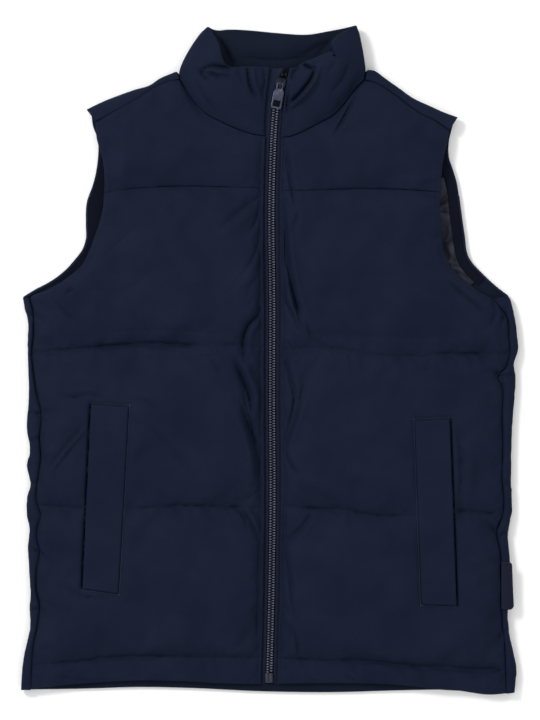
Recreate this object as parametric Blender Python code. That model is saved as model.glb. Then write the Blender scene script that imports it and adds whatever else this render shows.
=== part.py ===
"""A padded vest with a stand collar and a front zip, laid flat, front up and zipped.

Everything is worked out in millimetres: x across with the wearer's left at +x, y up the body from
the hem, z up from the surface that the vest lies on. solid() turns the points into metres.
Each padded piece is a wall between an outer grid of points, which carries the quilting and the
largest creases, and a plain inner grid.
"""
import math

import bmesh
import bpy
import numpy as np
from mathutils import Matrix, Vector

MM = 0.001
MIDDLE = (0.05, 384.1)  # from the centre line and up from the hem; the origin is under it

# ---------------------------------------------------------------- driving sizes, mm
SEAM_GAP = 0.3          # between two pieces that are sewn together
BACK_THICK = 6.0        # padded back, pressed by its own weight
FRONT_LOW = 8.2         # underside of the fronts
EDGE_THICK = 3.6        # a padded wall where it is stitched through
FRONT_CROWN = 10.0      # how far a quilted field swells above its seams
YOKE_CROWN = 8.0
HEM_CROWN = 4.5
SEAM_SOFTNESS = 16.0    # over which a field swells up from a seam
EDGE_SOFTNESS = 13.0    # the same from a side seam, an armhole or the zip
EDGE_FLAT = 5.0         # flat stitched strip along the zip
LIP_CROWN = 6.3         # top of the rolled side above FRONT_LOW
FOLD_REACH = 9.0        # from the fold to the top of the roll
FOLD_WALL = 5.5         # wall thickness at the fold
FOLD_SHARE = 0.6        # most of a narrow roll's width that either of those takes
FOLD_INSIDE = 0.25      # of the roll's width, how far its inside runs back from the fold
HEM_ROLL_TOP = 12.5     # the roll is pressed lower at the hem
ARMHOLE_LIFT = 9.0      # how far the front stands off the back at the armhole
ARMHOLE_REACH = 38.0    # over which it comes down again
ARMHOLE_FULLNESS = 0.8  # below 1 the lift is even for most of the armhole
CREASE_DEEPEST = 6.0    # where creases meet
CREASE_BORDER = 3.0     # thicker than a seam by this, the padding takes a crease's whole depth
CREASE_THIN = 0.6       # how far below a seam's thickness a crease may press
COLLAR_THICK = 9.0
COLLAR_EDGE = 5.0       # at the rounded top edge
COLLAR_END = 3.2        # beside the zip
COLLAR_FILL = 0.16      # over which the collar fills out above its seam, of its height
COLLAR_TAPER = 0.2      # over which it thins to its edge, of its height
COLLAR_FOLD_THIN = 0.3  # how much the padding is squeezed where the collar folds over
COLLAR_FOLD_SPAN = 2.5  # of the fold, in stations
COLLAR_SEAM_EASE = 0.6  # how much of its own slope the collar keeps just above the front seam
NECK_CORNER_CLEAR = 0.9
ZIP_HALF = 9.3          # from the zip's middle to the front's edge
TAPE_THICK = 1.0
TAPE_UNDER = 8.0        # tape hidden under the front's edge
CHAIN_WIDTH = 6.6
CHAIN_THICK = 2.6
CHAIN_CHAMFER = 0.8
WELT_THICK = 2.6
FACING_WIDTH = 19.0
SHEET_THICK = 1.0       # facing, lining
TURNED_WIDTH = 6.0      # cloth turned over along the back's armholes and neck
TURNED_CLEAR = 0.6
SQUARE_FROM, SQUARE_SPAN = 0.65, 0.25  # of the armhole, where its edge comes square to the yoke
CORNER_LEAN, CORNER_SPAN = 0.3, 20.0   # how the back's neck edge leans beside the shoulders
LABEL_THICK = 1.4
LABEL_CLEAR = 0.3
LABEL_IN = 0.2          # how far the label starts from the side seam, of the roll's first step
WELT_CLEAR = 0.3
WELT_SWELL = 0.8        # how full the front is under a welt, of its crown
WELT_BRIDGE = 0.82      # the least fullness that a welt lies on, of the crown
WELT_BORDER = 10.0
WELT_FREE_LIFT = 1.5    # how far the welt's free edge stands off the front
LINING_WIDTH = 45.0
TAPE_PARTING = 0.6      # between the tapes under the teeth
ZIP_FOOT, ZIP_HEAD = 9.5, 721.0
ZIP_BOX = {"low": 10.5, "top": 21.5, "half_width": 4.2, "thick": 3.2}
SLIDER_MOUTH = 694.5    # where the teeth go into the slider
ZIP_STOP = {"y": 713.5, "off": 2.0, "half_width": 1.2, "half_length": 1.6, "thick": 2.4}

SIDES = {"right": -1, "left": 1}

# ---------------------------------------------------------------- seams and edges, mm
# The zip's middle.
ZIP_LINE = {
    "y": (9, 106, 222, 338, 454, 570, 616, 650, 674, 688, 697, 706, 716, 722),
    "x": (-0.6, 2, 3.5, 3, 3.2, 2.3, 3.5, 5, 7, 8.7, 10.4, 13.3, 18, 21),
}
# How far the neck end of the zip, and with it the yokes, stand above FRONT_LOW.
RISE = {"y": (540, 560, 600, 643, 686, 722), "z": (0, 0, 1.2, 3, 9, 11.8)}
RISE_TOP = 643

# Seams that run across each front, from the side to the zip.
HEM = {
    "right": {"x": (-288, -243, -197, -148, -96, -61, -5), "y": (2, 7, 11, 13, 12, 10, 9)},
    "left": {"x": (4, 78, 148, 198, 233, 256, 284), "y": (9, 10, 8, 3, 1, -3, 0)},
}
HEM_STITCH = {
    "right": {"x": (-284, -251, -182, -121, -61, -8), "y": (31, 33, 39, 41, 40, 39)},
    "left": {"x": (10, 48, 116, 173, 231, 270, 284), "y": (39, 37, 35, 29, 26, 25, 27)},
}
WAIST_SEAM = {
    "right": {"x": (-269, -215, -162, -110, -41, -8), "y": (216, 213, 212, 215, 214, 213)},
    "left": {"x": (10, 45, 82, 117, 166, 216, 264), "y": (215, 213, 211, 205, 205, 209, 206)},
}
CHEST_SEAM = {
    "right": {"x": (-273, -231, -182, -131, -87, -35, -8), "y": (392, 397, 400, 403, 401, 401, 399)},
    "left": {"x": (12, 66, 97, 135, 170, 202, 266), "y": (397, 398, 394, 389, 389, 391, 391)},
}
YOKE_SEAM = {
    "right": {"x": (-191, -169, -136, -92, -48, -7), "y": (578, 581, 584, 585, 584, 583)},
    "left": {"x": (10, 39, 66, 116, 155, 196), "y": (580, 580, 581, 582, 581, 578)},
}
LEVELS = (HEM, HEM_STITCH, WAIST_SEAM, CHEST_SEAM, YOKE_SEAM)
CROWNS = (HEM_CROWN, FRONT_CROWN, FRONT_CROWN, FRONT_CROWN)
ROWS_BETWEEN = (4, 8, 8, 10)

# Up each side: the seam on top, and the fold that is the vest's outline.
SIDE_SEAM = {
    "right": {
        "y": (2, 31, 55, 75, 97, 121, 145, 161, 175, 189, 206, 217, 247, 267, 297, 318, 349, 377,
              393, 419, 437, 457),
        "x": (-276, -275, -273, -269, -266, -270, -269, -266, -269, -269, -265, -269, -268, -265,
              -266, -264, -270, -274, -275, -273, -273, -276),
    },
    "left": {
        "y": (1, 26, 52, 82, 129, 162, 186, 206, 222, 246, 284, 322, 354, 365, 375, 396, 409, 429,
              447, 455),
        "x": (274, 273, 272, 269, 268, 267, 263, 270, 271, 269, 270, 269, 269, 264, 273, 278, 277,
              276, 265, 257),
    },
}
SIDE_FOLD = {
    "right": {
        "y": (2, 20, 38, 57, 74, 89, 113, 135, 150, 168, 187, 205, 224, 240, 261, 277, 307, 338,
              396, 428, 447, 457),
        "x": (-288, -287, -285, -281, -277, -278, -277, -278, -279, -280, -278, -281, -281, -277,
              -281, -278, -281, -279, -280, -280, -284, -286),
    },
    "left": {
        "y": (1, 29, 48, 71, 89, 135, 158, 180, 212, 233, 270, 307, 345, 365, 379, 396, 412, 428,
              447, 458),
        "x": (284, 286, 282, 277, 276, 279, 278, 276, 281, 280, 280, 281, 284, 285, 283, 288, 287,
              285, 281, 278),
    },
}
# Armholes from the side seam up to the shoulder: the front's edge and the back's.
FRONT_ARMHOLE = {
    "right": {
        "x": (-260, -243, -229, -217, -208, -202, -197, -193, -191, -191, -193, -197, -200, -201),
        "y": (464, 473, 483, 494, 511, 527, 541, 558, 579, 601, 616, 629, 641, 660),
    },
    "left": {
        "x": (243, 231, 217, 208, 202, 199, 197, 197, 199, 201, 206, 208),
        "y": (463, 472, 484, 493, 507, 530, 559, 578, 601, 616, 638, 650),
    },
}
BACK_ARMHOLE = {
    "right": {
        "x": (-286, -273, -251, -237, -226, -217, -213, -213, -211, -207, -202, -200, -200, -206,
              -212),
        "y": (457, 465, 477, 488, 500, 512, 524, 541, 570, 583, 602, 616, 639, 657, 674),
    },
    "left": {
        "x": (278, 267, 249, 231, 226, 222, 218, 213, 209, 209, 213, 218),
        "y": (458, 466, 482, 503, 530, 559, 589, 606, 618, 638, 651, 665),
    },
}
# Shoulders from the armhole to the neck, and the front neck seam on to the zip.
SHOULDER_FOLD = {
    "right": {"x": (-212, -191, -173, -156, -139, -127, -113, -108),
              "y": (674, 684, 691, 697, 702, 710, 716, 718)},
    "left": {"x": (218, 204, 186, 165, 151, 134, 121, 114),
             "y": (665, 670, 678, 688, 698, 710, 719, 720)},
}
SHOULDER_SEAM = {
    "right": {"x": (-201, -190, -166, -154, -136, -121, -105),
              "y": (660, 666, 679, 686, 698, 705, 709)},
    "left": {"x": (208, 193, 173, 158, 139, 124, 111), "y": (650, 660, 670, 681, 695, 704, 708)},
}
NECK_SEAM = {
    "right": {"x": (-105, -92, -77, -56, -38, -20, -6), "y": (709, 688, 671, 659, 651, 645, 643)},
    "left": {"x": (111, 100, 86, 74, 61, 44, 26, 13), "y": (708, 698, 680, 667, 660, 651, 643, 641)},
}
BACK_NECK = {"x": (-108, -98, -80, -40, 3, 49, 88, 104, 114),
             "y": (718, 711, 703, 695, 693, 695, 704, 713, 720)}
BACK_YOKE_Y = 574
BACK_LOW_X = (-209.5, 219.5)  # ends of the back yoke's lower edge
BACK_HEM = {"x": (-288, -217, -148, -96, -9, 78, 148, 217, 256, 284),
            "y": (2, 3, 5, 4, 0, -1, 1, 1, -4, -1)}

# The collar's middle surface: halfway up and at its top edge, for stations along each front neck
# seam (at = 0 by the zip, 1 at the shoulder), round each fold, and along the back.
COLLAR_FRONT = {
    "right": {
        "at": (0, 0.25, 0.5, 0.7, 0.85, 1),
        "mid_x": (-4, -33, -55, -68, -77, -89), "mid_y": (686, 688, 695, 704, 718, 734),
        "mid_z": (19, 23, 25, 26, 25, 21),
        "top_x": (1, -26, -47, -54, -58, -66), "top_y": (722, 723, 723, 732, 748, 763),
        "top_z": (22, 25, 28, 31, 30, 25),
    },
    "left": {
        "at": (0, 0.25, 0.5, 0.7, 0.85, 1),
        "mid_x": (17, 39, 64, 82, 91, 103), "mid_y": (686, 687, 697, 712, 727, 739),
        "mid_z": (19, 24, 26, 27, 26, 21),
        "top_x": (23, 39, 58, 70, 77, 90), "top_y": (721, 724, 735, 745, 757, 766),
        "top_z": (22, 27, 31, 33, 31, 25),
    },
}
COLLAR_BACK = {
    "base_x": (-103.5, -103.6, -100.5, -95, -80, -40, 3, 49, 88, 101, 106.5, 109.7, 109.4),
    "base_y": (713, 716.5, 716, 712.5, 704.5, 696.5, 694.5, 696.5, 705.5, 714.5, 717.5, 717.5, 712.5),
    "base_z": (12, 8.5, 4.4, 3.2, 3, 3, 3, 3, 3, 3.2, 4.4, 8.5, 12),
    "mid_x": (-90.5, -89, -84, -76, -64, -34, 0, 46, 84, 92, 98, 104, 105),
    "mid_y": (739, 743, 742, 740, 737, 731, 730, 731, 738, 741, 742, 743, 741.5),
    "mid_z": (18.5, 13, 5.2, 4.7, 4.5, 4.5, 4.5, 4.5, 4.5, 4.7, 5.2, 13, 18.5),
    "top_x": (-69.5, -70, -65, -58, -46, -23, 8, 42, 68, 84, 93, 99, 97.5),
    "top_y": (767.5, 769, 767, 766, 767, 766, 763, 761, 765, 768, 770, 771, 769.5),
    "top_z": (21, 14, 5, 4, 3.5, 3.5, 3.5, 3.5, 3.5, 4, 5, 14, 21),
}

# Pocket welts: corners from the top on the side-seam side, round by the zip side.
WELTS = {
    "right": {"x": (-206, -163, -175, -216), "y": (333, 330, 114, 120)},
    "left": {"x": (208, 168, 176, 216), "y": (316, 314, 102, 100)},
}
LABEL = {"low": 96, "high": 151}

# The largest creases: from, to, depth and half width.
CREASES = {
    "x0": (-41, -25, -146, -11, 27, 39, 47, 17, -8, 212, -217, 17, -13),
    "y0": (385, 345, 313, 165, 345, 354, 213, 516, 465, 471, 307, 630, 203),
    "x1": (-25, -10, -111, -11, 18, 16, 21, 36, -32, 251, -253, 30, -8),
    "y1": (345, 250, 277, 65, 313, 284, 176, 430, 411, 438, 259, 563, 177),
    "depth": (4, 5, 2.5, 3.5, 3, 4, 4, 4, 4, 3, 3, 3, 3),
    "width": (10, 11, 12, 9, 9, 10, 10, 10, 10, 11, 12, 9, 9),
}

# Zip slider and pull, from the hinge between them: half widths up their outlines, and the parts.
HINGE_X, HINGE_Y = 12.6, 703.0
HINGE_UP = 4.8          # the hinge's axis above the tapes
PULL_TURN = -11.0       # degrees about z
PULL_TILT = 7.0         # degrees, the slope that the pull lies on
SLIDER_OUTLINE = {"half_width": (3.2, 5.4, 5.4, 3.6), "y": (-7.5, -1.0, 4.0, 6.4)}
BAIL = {"half_width": 1.3, "low": -4.0, "high": 4.6, "thick": 1.2}
EYE = {"half_length": 2.4, "half_height": 1.4}
PULL_OUTLINE = {"half_width": (5.2, 6.0, 6.0, 4.2, 4.2), "y": (-27.0, -26.2, -8.0, -5.5, 1.0)}
PULL_THICK = 1.6
PULL_WINDOW = {"half_width": 2.4, "low": -5.6, "high": -1.0}
PULL_RECESS = {"half_width": 3.9, "low": -23.6, "high": -18.0, "deep": 0.6}
THROUGH = 3.0           # how far a cutter reaches past what it cuts

COLOURS = {
    "shell": (0.0117, 0.0160, 0.0356, 1), "inside": (0.0091, 0.0130, 0.0290, 1),
    "lining": (0.0168, 0.0176, 0.0252, 1), "tape": (0.0090, 0.0120, 0.0236, 1),
    "teeth": (0.030, 0.032, 0.045, 1), "metal": (0.11, 0.12, 0.16, 1),
    "label": (0.0144, 0.0168, 0.0307, 1),
}


# ---------------------------------------------------------------- curves
def curve(xs, ys, at):
    """A smooth curve through the points, level with its ends outside them."""
    xs, ys = np.asarray(xs, float), np.asarray(ys, float)
    step, climb = np.diff(xs), np.diff(ys)
    slope = climb / step
    inner = (slope[:-1] * step[1:] + slope[1:] * step[:-1]) / (step[:-1] + step[1:])
    turn = np.concatenate([[slope[0]], inner, [slope[-1]]])
    at = np.clip(np.asarray(at, float), xs[0], xs[-1])
    k = np.clip(np.searchsorted(xs, at) - 1, 0, len(step) - 1)
    t = (at - xs[k]) / step[k]
    near = ys[k] * (2 * t**3 - 3 * t**2 + 1) + turn[k] * step[k] * (t**3 - 2 * t**2 + t)
    return near + ys[k + 1] * (3 * t**2 - 2 * t**3) + turn[k + 1] * step[k] * (t**3 - t**2)


def across(table, x):
    """The height of a seam over x; its table may run either way."""
    order = np.argsort(table["x"])
    return curve(np.array(table["x"])[order], np.array(table["y"])[order], x)


def path(points, fractions):
    """Points at the given fractions of the length of a smooth path."""
    points = np.asarray(points, float)
    along = np.concatenate([[0], np.cumsum(np.linalg.norm(np.diff(points, axis=0), axis=1))])
    at = np.asarray(fractions, float) * along[-1]
    return np.stack([curve(along, points[:, k], at) for k in range(points.shape[1])], axis=-1)


def points_of(table):
    return np.column_stack([table["x"], table["y"]])


def spaced(count, bunched):
    """Fractions from 0 to 1, bunched towards both ends by that share."""
    t = np.linspace(0, 1, count + 1)
    return (1 - bunched) * t + bunched * (0.5 - 0.5 * np.cos(math.pi * t))


def step_up(t):
    t = np.clip(t, 0, 1)
    return t * t * (3 - 2 * t)


def swell(distance, softness):
    return 1 - np.exp(-np.maximum(distance, 0) / softness)


def zip_x(y):
    return curve(ZIP_LINE["y"], ZIP_LINE["x"], y)


def rise(y):
    return curve(RISE["y"], RISE["z"], y)


COLUMNS = spaced(24, 0.45)
HALF = len(COLUMNS) // 2
UNDERSIDE = spaced(10, 0)[1:-1]     # columns across the back between its rolled edges
NECK_COLUMNS = np.concatenate([[0.012], spaced(12, 0)[1:-1], [0.988]])


# ---------------------------------------------------------------- solids
def material(name, finish, roughness=0.8, metallic=0.0):
    made = bpy.data.materials.new(name)
    made.use_nodes = True
    shader = made.node_tree.nodes["Principled BSDF"]
    shader.inputs["Base Color"].default_value = COLOURS[finish]
    shader.inputs["Roughness"].default_value = roughness
    shader.inputs["Metallic"].default_value = metallic
    made.diffuse_color = COLOURS[finish]
    return made


def finish_object(name, mesh, finish, roughness, metallic):
    mesh.materials.append(material(name, finish, roughness, metallic))
    made = bpy.data.objects.new(name, mesh)
    bpy.context.scene.collection.objects.link(made)
    return made


def solid(name, verts, faces, finish, roughness=0.8, metallic=0.0, placed=True):
    """One closed body with its faces outward, from points in mm; placed ones are in the vest's plan."""
    mesh = bpy.data.meshes.new(name)
    mesh.from_pydata([tuple(float(c) * MM for c in v) for v in verts], [], faces)
    if placed:
        mesh.transform(Matrix.Translation((-MIDDLE[0] * MM, -MIDDLE[1] * MM, 0)))
    shell = bmesh.new()
    shell.from_mesh(mesh)
    bmesh.ops.triangulate(shell, faces=shell.faces, quad_method="SHORT_EDGE")
    bmesh.ops.recalc_face_normals(shell, faces=shell.faces)
    if shell.calc_volume(signed=True) < 0:
        bmesh.ops.reverse_faces(shell, faces=shell.faces)
    shell.to_mesh(mesh)
    shell.free()
    mesh.shade_smooth()
    mesh.set_sharp_from_angle(angle=math.radians(50))
    return finish_object(name, mesh, finish, roughness, metallic)


def rim(outer, inner, step):
    """Faces between a run of outer points and every step-th point of it on the inner grid."""
    faces = []
    for k in range(len(inner) - 1):
        edge = outer[k * step: (k + 1) * step + 1]
        faces += [(b, a, inner[k]) for a, b in zip(edge[:-2], edge[1:-1])]
        faces.append((edge[-1], edge[-2], inner[k], inner[k + 1]))
    return faces


def wall(name, outer, inner, finish, column_step=1, **look):
    """A wall between two grids of points; the inner one keeps every column_step-th column."""
    inner = inner[:, ::column_step]
    rows, cols = outer.shape[:2]
    inner_cols = inner.shape[1]
    near = np.arange(rows * cols).reshape(rows, cols)
    far = rows * cols + np.arange(rows * inner_cols).reshape(rows, inner_cols)
    verts = [*outer.reshape(-1, 3), *inner.reshape(-1, 3)]
    faces = []
    for grid in (near, far[:, ::-1]):
        corners = (grid[:-1, :-1], grid[:-1, 1:], grid[1:, 1:], grid[1:, :-1])
        faces += [tuple(int(k) for k in face) for face in zip(*(c.ravel() for c in corners))]
    faces += rim(near[0], far[0], column_step)
    faces += rim(near[:, -1], far[:, -1], 1)
    faces += rim(near[-1, ::-1], far[-1, ::-1], column_step)
    faces += rim(near[::-1, 0], far[::-1, 0], 1)
    return solid(name, verts, [tuple(int(k) for k in f) for f in faces], finish, **look)


def sheet_on(name, plan, low, thick, finish, **look):
    """A wall of even thickness over a grid of plan points."""
    base = np.dstack([plan, low])
    return wall(name, base + [0, 0, thick], base, finish, **look)


# ---------------------------------------------------------------- plan of the fronts and yokes
def front_edge(side):
    """The front's outer edge, up the side seam and round the armhole, as a close line."""
    points = np.vstack([points_of(SIDE_SEAM[side]), points_of(FRONT_ARMHOLE[side])]).astype(float)
    points[0] += (points[0] - points[1]) / 2
    return path(points, np.linspace(0, 1, 1201))


def row_height(side, band, t, x):
    return (1 - t) * across(LEVELS[band][side], x) + t * across(LEVELS[band + 1][side], x)


def meeting(side, band, t, edge):
    """Where a row meets the front's outer edge: the place along it, and the point."""
    above = np.maximum.accumulate(edge[:, 1] - row_height(side, band, t, edge[:, 0]))
    at = float(np.interp(0, above, np.arange(len(edge))))
    return at, np.array([np.interp(at, np.arange(len(edge)), edge[:, k]) for k in (0, 1)])


def front_rows():
    """(band, t) of each row, hem first; bands lie between the quilting seams."""
    rows = [(0, 0.0)]
    for band, count in enumerate(ROWS_BETWEEN):
        rows += [(band, float(t)) for t in spaced(count, 0.5)[1:]]
    return rows


def front_plan(side):
    """Grid of plan points, from the outer edge (first column) to the zip."""
    edge = front_edge(side)
    grid, places = [], []
    for band, t in front_rows():
        at, outer = meeting(side, band, t, edge)
        y = row_height(side, band, t, 0)
        inner_x = zip_x(y) + SIDES[side] * ZIP_HALF
        x = outer[0] + (inner_x - outer[0]) * COLUMNS
        grid.append(np.column_stack([x, row_height(side, band, t, x)]))
        places.append(at / len(edge))
    return np.array(grid), np.array(places)


def coons(low, high, first, last):
    """A grid between four edges that meet at their corners."""
    u = np.linspace(0, 1, len(low))[None, :, None]
    v = np.linspace(0, 1, len(first))[:, None, None]
    blend = (1 - v) * low[None] + v * high[None] + (1 - u) * first[:, None] + u * last[:, None]
    corners = (1 - v) * ((1 - u) * low[0] + u * low[-1]) + v * ((1 - u) * high[0] + u * high[-1])
    return blend - corners


def yoke_plan(side, rows=10):
    """Grid from the yoke seam up to the shoulder seam and the neck seam."""
    sign = SIDES[side]
    low = front_plan(side)[0][-1] + [0, SEAM_GAP]
    edge = front_edge(side)
    start = meeting(side, len(ROWS_BETWEEN) - 1, 1.0, edge)[0]
    armhole = edge[int(math.ceil(start)):]
    first = path(np.vstack([low[:1], armhole[::12], armhole[-1:]]), np.linspace(0, 1, rows + 1))
    ends = np.linspace(0, 1, HALF + 1)
    shoulder = path(points_of(SHOULDER_SEAM[side]), ends)
    neck = path(points_of(NECK_SEAM[side]), ends)
    high = np.vstack([shoulder, neck[1:]])
    first[-1] = high[0]
    zip_y = np.linspace(low[-1][1], high[-1][1], rows + 1)
    last = np.column_stack([zip_x(zip_y) + sign * ZIP_HALF, zip_y])
    last[0], last[-1] = low[-1], high[-1]
    return coons(low, high, first, last)


def armhole_lift(side, x, y, edge_x):
    """How far the front stands up off the back near the armhole."""
    low, high = FRONT_ARMHOLE[side]["y"][0], FRONT_ARMHOLE[side]["y"][-1]
    bump = np.sin(math.pi * np.clip((y - low) / (high - low), 0, 1)) ** ARMHOLE_FULLNESS
    return ARMHOLE_LIFT * bump * np.exp(-(((x - edge_x) / ARMHOLE_REACH) ** 2))


def creased(x, y):
    """Depth of the largest creases at each point."""
    depth = np.zeros_like(x)
    for x0, y0, x1, y1, deep, width in zip(*CREASES.values()):
        run = np.array([x1 - x0, y1 - y0], float)
        t = np.clip(((x - x0) * run[0] + (y - y0) * run[1]) / (run @ run), 0, 1)
        away = np.hypot(x - x0 - t * run[0], y - y0 - t * run[1])
        depth += deep * np.exp(-((away / width) ** 2))
    return np.minimum(depth, CREASE_DEEPEST)


def front_low(side, grid):
    """Height of the underside of a front or its yoke."""
    x, y = grid[..., 0], grid[..., 1]
    return FRONT_LOW + rise(np.minimum(y, RISE_TOP)) + armhole_lift(side, x, y, grid[:, :1, 0])


def covered(side, x, y):
    """1 under a pocket's welt, falling to 0 beside it."""
    corners = points_of(WELTS[side])
    inside = np.full(x.shape, np.inf)
    for a, b in zip(corners, np.roll(corners, -1, axis=0)):
        run = (b - a) / np.linalg.norm(b - a)
        inside = np.minimum(inside, SIDES[side] * (run[0] * (y - a[1]) - run[1] * (x - a[0])))
    return step_up((inside + WELT_BORDER) / WELT_BORDER)


def front_thick(side, grid):
    """Thickness of the front's padding at each point."""
    x, y = grid[..., 0], grid[..., 1]
    thick = np.zeros_like(x)
    rows = front_rows()
    flat = covered(side, x, y)
    for r, (band, t) in enumerate(rows):
        below = y[r] - across(LEVELS[band][side], x[r])
        above = across(LEVELS[band + 1][side], x[r]) - y[r]
        if band == 0 and t == 0:
            below = np.zeros_like(below)
        pinch = swell(below, SEAM_SOFTNESS) * swell(above, SEAM_SOFTNESS)
        pinch += np.maximum(WELT_SWELL - pinch, 0) * flat[r]
        thick[r] = CROWNS[band] * pinch
    side_away = np.abs(x - x[:, :1])
    zip_away = np.abs(x - x[:, -1:]) - EDGE_FLAT
    return EDGE_THICK + thick * swell(side_away, EDGE_SOFTNESS) * swell(zip_away, EDGE_SOFTNESS)


def yoke_thick(grid):
    away = [np.linalg.norm(grid - edge, axis=-1) for edge in (grid[:1], grid[-1:], grid[:, :1])]
    zip_away = np.linalg.norm(grid - grid[:, -1:], axis=-1) - EDGE_FLAT
    lift = swell(away[0], SEAM_SOFTNESS) * swell(away[1], SEAM_SOFTNESS)
    lift *= swell(away[2], EDGE_SOFTNESS) * swell(zip_away, EDGE_SOFTNESS)
    return EDGE_THICK + YOKE_CROWN * lift


def panel(name, side, grid, thick, column_step):
    low = front_low(side, grid)
    border = step_up((thick - EDGE_THICK) / CREASE_BORDER)
    thick = thick - creased(grid[..., 0], grid[..., 1]) * border
    top = low + np.maximum(thick, EDGE_THICK - CREASE_THIN)
    return wall(name, np.dstack([grid, top]), np.dstack([grid, low]), "shell", column_step)


def fronts_and_yokes():
    for side in SIDES:
        grid = front_plan(side)[0]
        panel(f"front_{side}", side, grid, front_thick(side, grid), 2)
        grid = yoke_plan(side)
        panel(f"front_yoke_{side}", side, grid, yoke_thick(grid), 1)


# ---------------------------------------------------------------- the back and its rolled edges
ARC = np.radians((90, 60, 30, 0, -30, -60, -90))


def wrap(seam, fold, low, edge_thick=EDGE_THICK, crown_over=LIP_CROWN):
    """Outer and inner points from a seam on top, round the fold, to the underside."""
    width = np.linalg.norm(seam - fold)
    inward = (seam - fold) / width
    reach = min(FOLD_REACH, FOLD_SHARE * width)
    crown = low + crown_over
    outer = [[*seam, low + edge_thick]]
    inner = [[*seam, low]]
    near = min(FOLD_WALL, FOLD_SHARE * width)
    for angle in ARC:
        out = fold + inward * reach * (1 - math.cos(angle))
        outer.append([*out, crown / 2 * (1 + math.sin(angle))])
        back_in = fold + inward * (near + FOLD_INSIDE * width * (1 - math.cos(angle)))
        inner.append([*back_in, (BACK_THICK + low) / 2 + (low - BACK_THICK) / 2 * math.sin(angle)])
    return outer, inner


def turned_edge(edge, inward):
    """The same points where the back ends by itself: its cloth turned over and stitched down."""
    seam = edge + inward * TURNED_WIDTH
    return wrap(seam, edge, BACK_THICK + TURNED_CLEAR, SHEET_THICK, SHEET_THICK)


def back_edge(side):
    """For each row of the back, its rolled edge; the side seam ends at the armhole."""
    grid, places = front_plan(side)
    edge = front_edge(side)
    corner = np.argmin(np.abs(edge[:, 1] - SIDE_SEAM[side]["y"][-1])) / len(edge)
    armhole = points_of(BACK_ARMHOLE[side])
    seam_x = np.interp(BACK_YOKE_Y, armhole[:, 1], armhole[:, 0])
    below_yoke = np.vstack([armhole[armhole[:, 1] < BACK_YOKE_Y - 3], [seam_x, BACK_YOKE_Y]])
    fold = SIDE_FOLD[side]
    out = SIDES[side]
    made = []
    for k, at in enumerate(places):
        if at <= corner:
            seam = grid[k, 0] + [out * SEAM_GAP, 0]
            folded = np.array([curve(fold["y"], fold["x"], seam[1]), seam[1]])
            made.append(wrap(seam, folded, FRONT_LOW))
        else:
            share = (at - corner) / (places[-1] - corner)
            before, here, after = path(below_yoke, [share - 0.01, share, share + 0.01])
            run = (after - before) / np.linalg.norm(after - before)
            run[0] *= 1 - step_up((share - SQUARE_FROM) / SQUARE_SPAN)
            made.append(turned_edge(here, np.array([-run[1], run[0]]) * out))
    return made


def back():
    right, left = back_edge("right"), back_edge("left")
    outer_rows, inner_rows = [], []
    for rolled_right, rolled_left in zip(right, left):
        rows = ((outer_rows, 0, 0.0), (inner_rows, 1, BACK_THICK))
        for grid, which, z in rows:
            a, b = np.array(rolled_right[which], float), np.array(rolled_left[which][::-1], float)
            between = a[-1] + (b[0] - a[-1]) * UNDERSIDE[:, None]
            between[:, 2] = z
            grid.append(np.vstack([a, between, b]))
    outer, inner = np.array(outer_rows), np.array(inner_rows)
    for grid in (outer, inner):
        grid[0, :, 1] = across(BACK_HEM, grid[0, :, 0])
        grid[-1, :, 1] = BACK_YOKE_Y
    outer[0, :, 2] = np.clip(outer[0, :, 2], 1.0, HEM_ROLL_TOP)
    return wall("back", outer, inner, "shell", column_step=2)


def back_yoke():
    """Rows run from the shoulder seam round the shoulder fold and down the underside."""
    ends = np.linspace(0, 1, HALF + 1)
    outer_cols, inner_cols = [], []
    for side in SIDES:
        seams = path(points_of(SHOULDER_SEAM[side]), ends)
        folds = path(points_of(SHOULDER_FOLD[side]), ends)
        columns = []
        for seam, fold in zip(seams, folds):
            up = (fold - seam) / np.linalg.norm(fold - seam)
            columns.append(wrap(seam + up * SEAM_GAP, fold, FRONT_LOW + rise(RISE_TOP)))
        if side == "left":
            columns = columns[::-1]
        outer_cols += [c[0] for c in columns]
        inner_cols += [c[1] for c in columns]
        if side == "right":
            neck = path(points_of(BACK_NECK), NECK_COLUMNS)
            for point in neck:
                corner = min(abs(point[0] - neck[0][0]), abs(point[0] - neck[-1][0]))
                lean = -np.sign(point[0]) * CORNER_LEAN * math.exp(-((corner / CORNER_SPAN) ** 2))
                turned = turned_edge(point, np.array([lean, -math.sqrt(1 - lean * lean)]))
                outer_cols.append(turned[0])
                inner_cols.append(turned[1])
    profiles = [np.array(c, float).transpose(1, 0, 2) for c in (outer_cols, inner_cols)]
    grids = []
    for profile, z in zip(profiles, (0.0, BACK_THICK)):
        top = profile[-1][:, :2]
        low_x = np.linspace(BACK_LOW_X[0], BACK_LOW_X[1], len(top))
        low = np.column_stack([low_x, np.full(len(top), BACK_YOKE_Y + SEAM_GAP)])
        edges = []
        for side, end in (("right", 0), ("left", -1)):
            points = points_of(BACK_ARMHOLE[side])
            keep = points[(points[:, 1] > BACK_YOKE_Y + 5) & (points[:, 1] < top[end][1] - 8)]
            line = np.vstack([low[end], keep + [SIDES[side] * -1.0, 0], top[end]])
            edges.append(path(line, np.linspace(0, 1, 7))[::-1])
        plan = coons(top, low, edges[0], edges[1])[1:]
        flat = np.dstack([plan, np.full(plan.shape[:2], z)])
        grids.append(np.vstack([profile, flat]))
    return wall("back_yoke", grids[0], grids[1], "shell")



# ---------------------------------------------------------------- collar
COLLAR_LEVELS = np.array([0, 0.12, 0.3, 0.5, 0.7, 0.86, 0.96, 1.0])


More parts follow.
